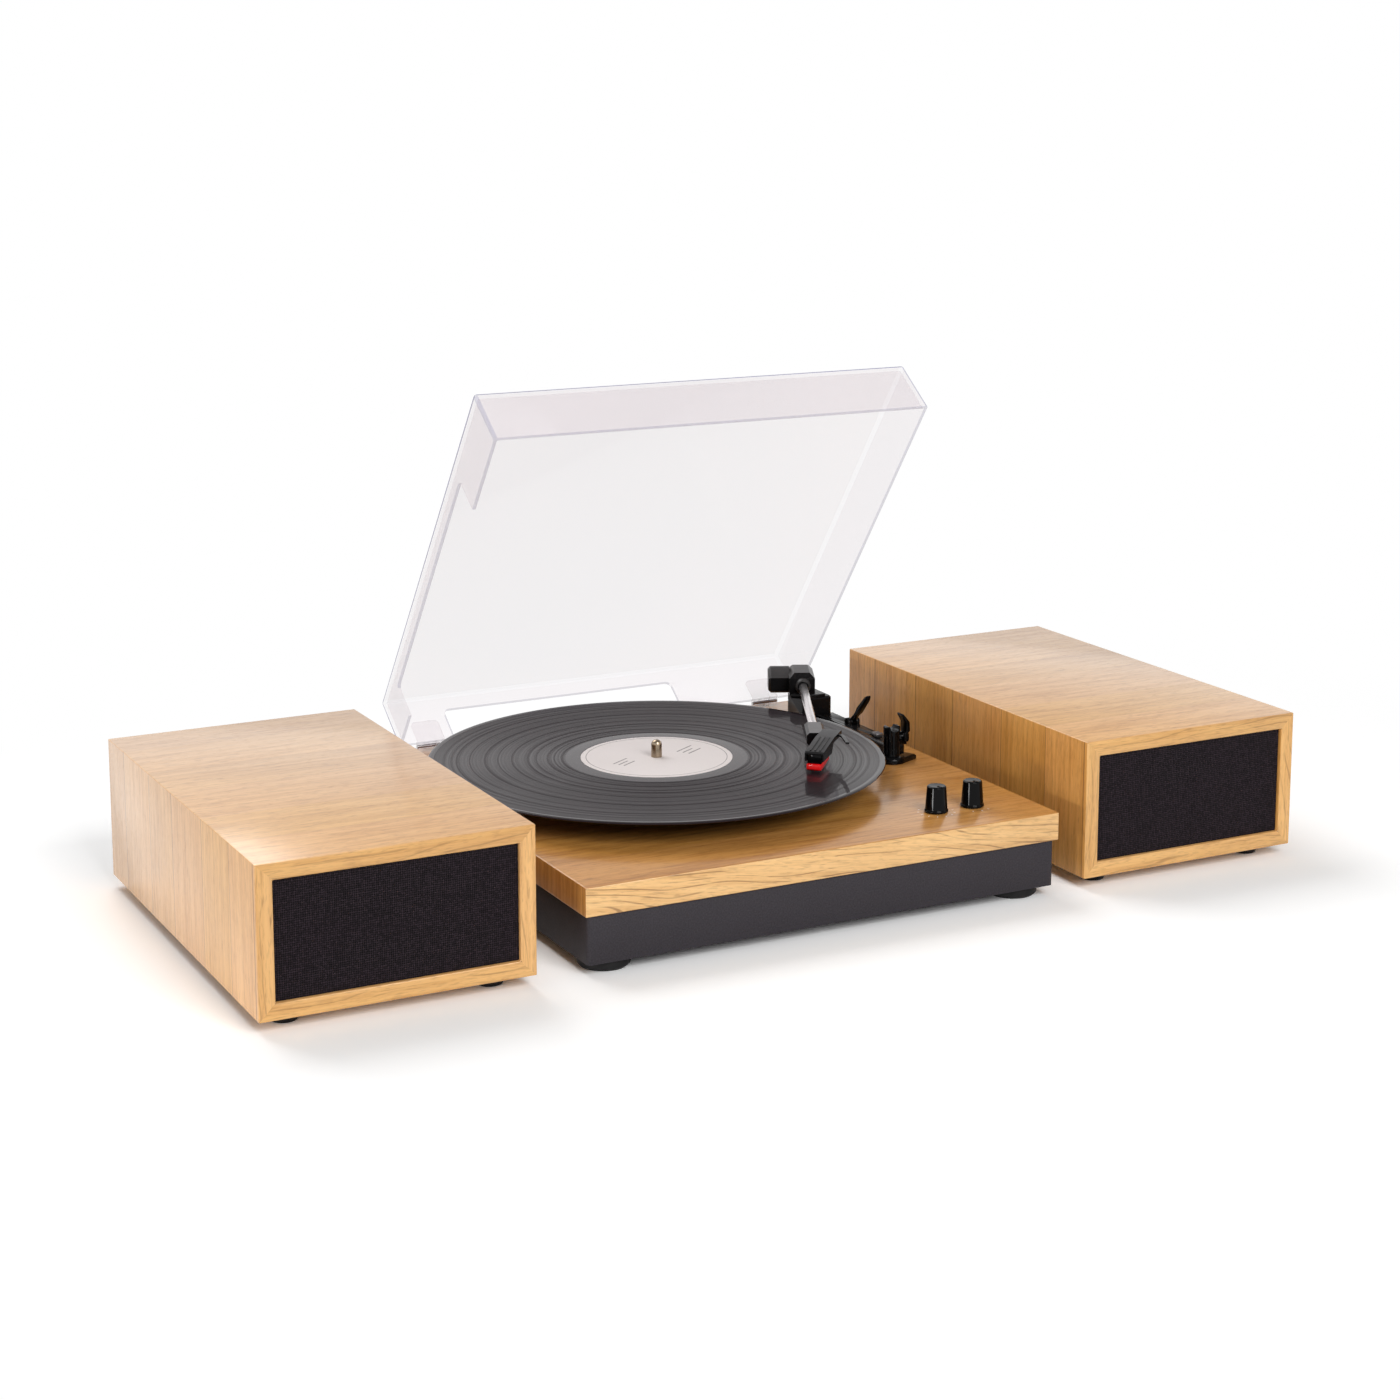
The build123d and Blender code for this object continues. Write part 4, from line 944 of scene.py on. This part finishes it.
class PLAYER_OT_loudspeakers(PlayerOperator, bpy.types.Operator):
    """Veneered boxes with mitred front frames, their feet, back panels and drivers"""
    bl_idname = "player.loudspeakers"
    bl_label = "Loudspeakers"

    def execute(self, context):
        for side in ("left", "right"):
            body = side + "_speaker"
            self.cabinet(side, body)
            stand_in(body + "_feet", side + "_round_feet", body, "foot_rubber")
            stand_in(side + "_back_panel", side + "_black_back", body, "textured_base", PLAIN_ROUND)
            dress("satin_black", side + "_grille_frame")
            dress("pressed_board", side + "_front_baffle")
            dress("plain_steel", side + "_woofer_basket")
            dress("cone_paper", side + "_woofer_cone")
        return {"FINISHED"}

    def cabinet(self, side, body):
        """Open box with a frame at its front and back, veneered face by face."""
        low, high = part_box(side + "_cabinet")
        box = box_piece(side + "_veneered_box", low, high)
        start_edit(box)
        for sign in (-1, 1):
            pick(box, "FACE", lambda face: face.normal.y * sign > 0.9)
            bpy.ops.mesh.inset(thickness=0.010, depth=0.0)
            bpy.ops.mesh.delete(type="ONLY_FACE")
        pick(box, "EDGE", lambda edge: edge.is_boundary)
        bpy.ops.mesh.bridge_edge_loops()
        close_mesh(1e-6)
        end_edit()
        front = ((238, 186, 116), (206, 150, 84))
        # Painted shade: the right speaker's side that faces the deck takes darker, more saturated oak and less lacquer
        # than the speakers' other sides.
        shaded_inner = ((228, 168, 92), (192, 132, 64))
        finishes = [oak_material("oak_box_top", 0, 1, 0.12, 0.12, coarse=1.7),
                    oak_material("oak_box_side", 2, 1, 0.9, 0.15),
                    oak_material("oak_frame_rail", 0, 2, 0.0, 0.5, front, plank=0.4),
                    oak_material("oak_frame_stile", 2, 0, 0.0, 0.5, front, plank=0.4),
                    oak_material("oak_box_inner", 2, 1, 0.9, 0.15, shaded_inner, lacquer=0.35)]
        middle = (low + high) / 2

        def choose(centre, normal):
            if abs(normal.y) > 0.5:
                return 2 if abs(centre.z - middle.z) > 0.038 else 3
            if abs(normal.z) > 0.5:
                return 0
            # The right speaker's side facing the deck gets the darker oak, a painted shade.
            return 4 if side == "right" and normal.x < 0 else 1
        paint_faces(box, finishes, choose)
        soften(box, settings("oak").edge, 3)
        self.mitres(box, low, high)
        seat(box, body, replaces=[side + "_cabinet"])

    def mitres(self, box, low, high):
        """Thin dark joint across each corner of the front frame."""
        middle, half = (low + high) / 2, (high - low) / 2

        def on_joint(point):
            return abs(abs(point.x - middle.x) - half.x - abs(point.z - middle.z) + half.z) < 0.0001

        def joint_edge(edge):
            ends = [vertex.co for vertex in edge.verts]
            return all(abs(end.y - low.y) < 0.0002 and on_joint(end) for end in ends) and edge.calc_length() > 0.005
        bevel_edges(box, joint_edge, 0.0002, 1)
        box.data.materials.append(moulded_material("mitre_joint", tuple(settings("oak").pore), 0.6))
        for face in box.data.polygons:
            if face.normal.y < -0.9 and on_joint(face.center):
                face.material_index = len(box.data.materials) - 1


class PLAYER_OT_grille_cloth(PlayerOperator, bpy.types.Operator):
    """Black woven cloth stretched over each grille frame"""
    bl_idname = "player.grille_cloth"
    bl_label = "Grille cloth"

    def execute(self, context):
        look = settings("cloth")
        material, tree, shader = blank_material("grille_weave", IOR=1.4, Specular_IOR_Level=0.15, Sheen_Weight=0.03,
                                                Sheen_Roughness=0.4)
        wear_surface(shader, "plain_weave", 0.7, 0.0004, {
            "Vector": object_point(tree), "Color": tuple(look.thread), "Pitch": look.pitch})
        for side in ("left", "right"):
            low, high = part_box(side + "_grille_cloth")
            deselect()
            bpy.ops.mesh.primitive_grid_add(x_subdivisions=48, y_subdivisions=24, size=1.0,
                                            rotation=(math.radians(90), 0, 0))
            cloth = bpy.context.active_object
            cloth.scale = (high.x - low.x, high.z - low.z, 1.0)
            cloth.location = ((low.x + high.x) / 2, low.y + 0.00022, (low.z + high.z) / 2)
            cloth = new_piece(side + "_woven_grille")
            start_edit(cloth)
            pick(cloth, "EDGE", lambda edge: edge.is_boundary)
            bpy.ops.transform.translate(value=(0, 0.00028, 0))
            end_edit()
            apply_modifier(cloth, "SOLIDIFY", thickness=0.0003, offset=0.0)
            smooth_shade(cloth, 60)
            seat(cloth, side + "_speaker", material, [side + "_grille_cloth"])
        return {"FINISHED"}


class PLAYER_OT_rear_sockets(PlayerOperator, bpy.types.Operator):
    """Socket panel, plated sockets and power inlet at the rear"""
    bl_idname = "player.rear_sockets"
    bl_label = "Rear sockets"

    def execute(self, context):
        stand_in("jack_panel", "socket_plate", "deck", "satin_black", SMALL_ROUND)
        stand_in("rear_jacks", "plated_sockets", "deck", "bright_steel", FINE_ROUND)
        dress("satin_black", "power_inlet")
        return {"FINISHED"}


class PLAYER_OT_inner_works(PlayerOperator, bpy.types.Operator):
    """Motor, belt, bearing and circuit board inside the base"""
    bl_idname = "player.inner_works"
    bl_label = "Inner works"

    def execute(self, context):
        dress("plain_steel", "motor_body", "motor_bracket", "motor_shaft")
        dress("turned_brass", "motor_pulley", "bearing_bush")
        dress("foot_rubber", "drive_belt")
        dress("board_green", "amp_board")
        return {"FINISHED"}


class PLAYER_OT_stage(PlayerOperator, bpy.types.Operator):
    """Pale floor, soft studio light, white surroundings and the camera"""
    bl_idname = "player.stage"
    bl_label = "Stage"

    def execute(self, context):
        look = settings("stage")
        self.floor()
        self.surroundings(look.ambient)
        self.lamp("front_lamp", (0.1, -2.5, 1.65), (0.0, 0.0, 0.05), 1.5, 1.5, look.key)
        self.lamp("top_lamp", (-0.4, 1.4, 1.9), (0.0, 0.0, 0.0), 1.5, 1.5, look.top)
        self.lamp("low_lamp", (-1.9, -0.35, 0.09), (-0.3, -0.1, 0.06), 1.2, 0.18, look.side)
        camera = bpy.data.cameras.new("player_camera")
        camera.lens = look.lens
        camera.sensor_width = 36.0
        camera.shift_y = look.shift
        camera.clip_start, camera.clip_end = 0.01, 200.0
        eye = bpy.data.objects.new("player_camera", camera)
        eye.location = look.place
        eye.rotation_euler = (math.pi / 2 - look.tilt, 0.0, -look.turn)
        context.scene.collection.objects.link(eye)
        context.scene.camera = eye
        context.scene.view_settings.view_transform = "Standard"
        return {"FINISHED"}

    def floor(self):
        """Pale floor that carries the shadow and turns to plain white with distance and behind the deck; left of the
        left speaker it is painted part way to white, a painted light that pales the shadow there.
        """
        deselect()
        bpy.ops.mesh.primitive_plane_add(size=60.0, location=(0, 0, -0.0002))
        ground = new_piece("pale_floor")
        material, tree, shader = blank_material("pale_floor", Base_Color=(0.82, 0.82, 0.82, 1), Roughness=0.9,
                                                Specular_IOR_Level=0.1)
        path = put(tree, "LightPath")
        seen = calc("MAXIMUM", Signal(path, "Is Camera Ray"),
                    calc("MAXIMUM", Signal(path, "Is Glossy Ray"), Signal(path, "Is Transmission Ray")))
        lift = derive("BsdfDiffuse", {"Color": grey(seen * 0.28)})
        near = derive("AddShader", {0: Signal(shader), 1: lift})
        place = object_point(tree)
        away = derive("VectorMath", {0: place}, "Value", operation="LENGTH")
        beside, behind, _ = split(place)
        fade = calc("MAXIMUM", ramp(away, 0.38, 0.80), ramp(behind, 0.24, 0.50))
        # Painted light: left of the left speaker the floor is lifted up to 60% of the way to white, paling the
        # speaker's shadow and the warm bounce there.
        fade = calc("MAXIMUM", fade, ramp(beside, -0.46, -0.36, 0.6, 0.0))
        white = derive("Emission", {"Color": (1, 1, 1, 1), "Strength": seen})
        fill(tree.nodes["Material Output"], {"Surface": derive("MixShader", {0: fade, 1: near, 2: white})})
        set_materials(ground, material)

    def surroundings(self, ambient):
        """White background, mirrored as white near the horizon and dimmer overhead, with a soft ambient light."""
        world = bpy.data.worlds.new("white_surroundings")
        bpy.context.scene.world = world
        world.use_nodes = True
        tree = world.node_tree
        path = put(tree, "LightPath")
        seen = calc("MAXIMUM", Signal(path, "Is Camera Ray"), Signal(path, "Is Transmission Ray"))
        height = split(Signal(put(tree, "TexCoord"), "Generated"))[2]
        mirrored = ramp(height, 0.30, 0.80, 1.0, 0.40) * Signal(path, "Is Glossy Ray")
        level = calc("MAXIMUM", calc("MAXIMUM", seen, mirrored), ambient)
        fill(tree.nodes["Background"], {"Color": (1, 1, 1, 1), "Strength": level})

    def lamp(self, name, place, aim, wide, high, power):
        """Rectangular lamp, turned to its aim and hidden from the camera."""
        light = bpy.data.lights.new(name, "AREA")
        light.shape = "RECTANGLE"
        light.size = wide
        light.size_y = high
        light.energy = power
        holder = bpy.data.objects.new(name, light)
        holder.location = place
        holder.rotation_euler = (Vector(aim) - Vector(place)).to_track_quat("-Z", "Y").to_euler()
        holder.visible_camera = False
        bpy.context.scene.collection.objects.link(holder)


STEPS = (PLAYER_OT_deck_board, PLAYER_OT_deck_base, PLAYER_OT_record, PLAYER_OT_dust_cover, PLAYER_OT_tonearm,
         PLAYER_OT_arm_fittings, PLAYER_OT_controls, PLAYER_OT_loudspeakers, PLAYER_OT_grille_cloth,
         PLAYER_OT_rear_sockets, PLAYER_OT_inner_works, PLAYER_OT_stage)


class PLAYER_PT_looks(bpy.types.Panel):
    """Sidebar list of the record player's pieces and finishes"""
    bl_idname = "PLAYER_PT_looks"
    bl_label = "Record player"
    bl_space_type = "VIEW_3D"
    bl_region_type = "UI"
    bl_category = "Record player"

    def draw(self, context):
        for step in STEPS:
            self.layout.operator(step.bl_idname)
        for group, kind in SETTINGS.items():
            box = self.layout.box()
            for key in kind.__annotations__:
                box.prop(settings(group), key)


def register():
    for group, kind in SETTINGS.items():
        bpy.utils.register_class(kind)
        setattr(bpy.types.Scene, "player_" + group, bpy.props.PointerProperty(type=kind))
    for kind in STEPS + (PLAYER_PT_looks,):
        bpy.utils.register_class(kind)


def unregister():
    for kind in reversed(STEPS + (PLAYER_PT_looks,)):
        bpy.utils.unregister_class(kind)
    for group, kind in SETTINGS.items():
        delattr(bpy.types.Scene, "player_" + group)
        bpy.utils.unregister_class(kind)


def main():
    register()
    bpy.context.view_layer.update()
    for step in STEPS:
        area, name = step.bl_idname.split(".")
        getattr(getattr(bpy.ops, area), name)()
    bpy.context.view_layer.update()


if __name__ == "__main__":
    main()
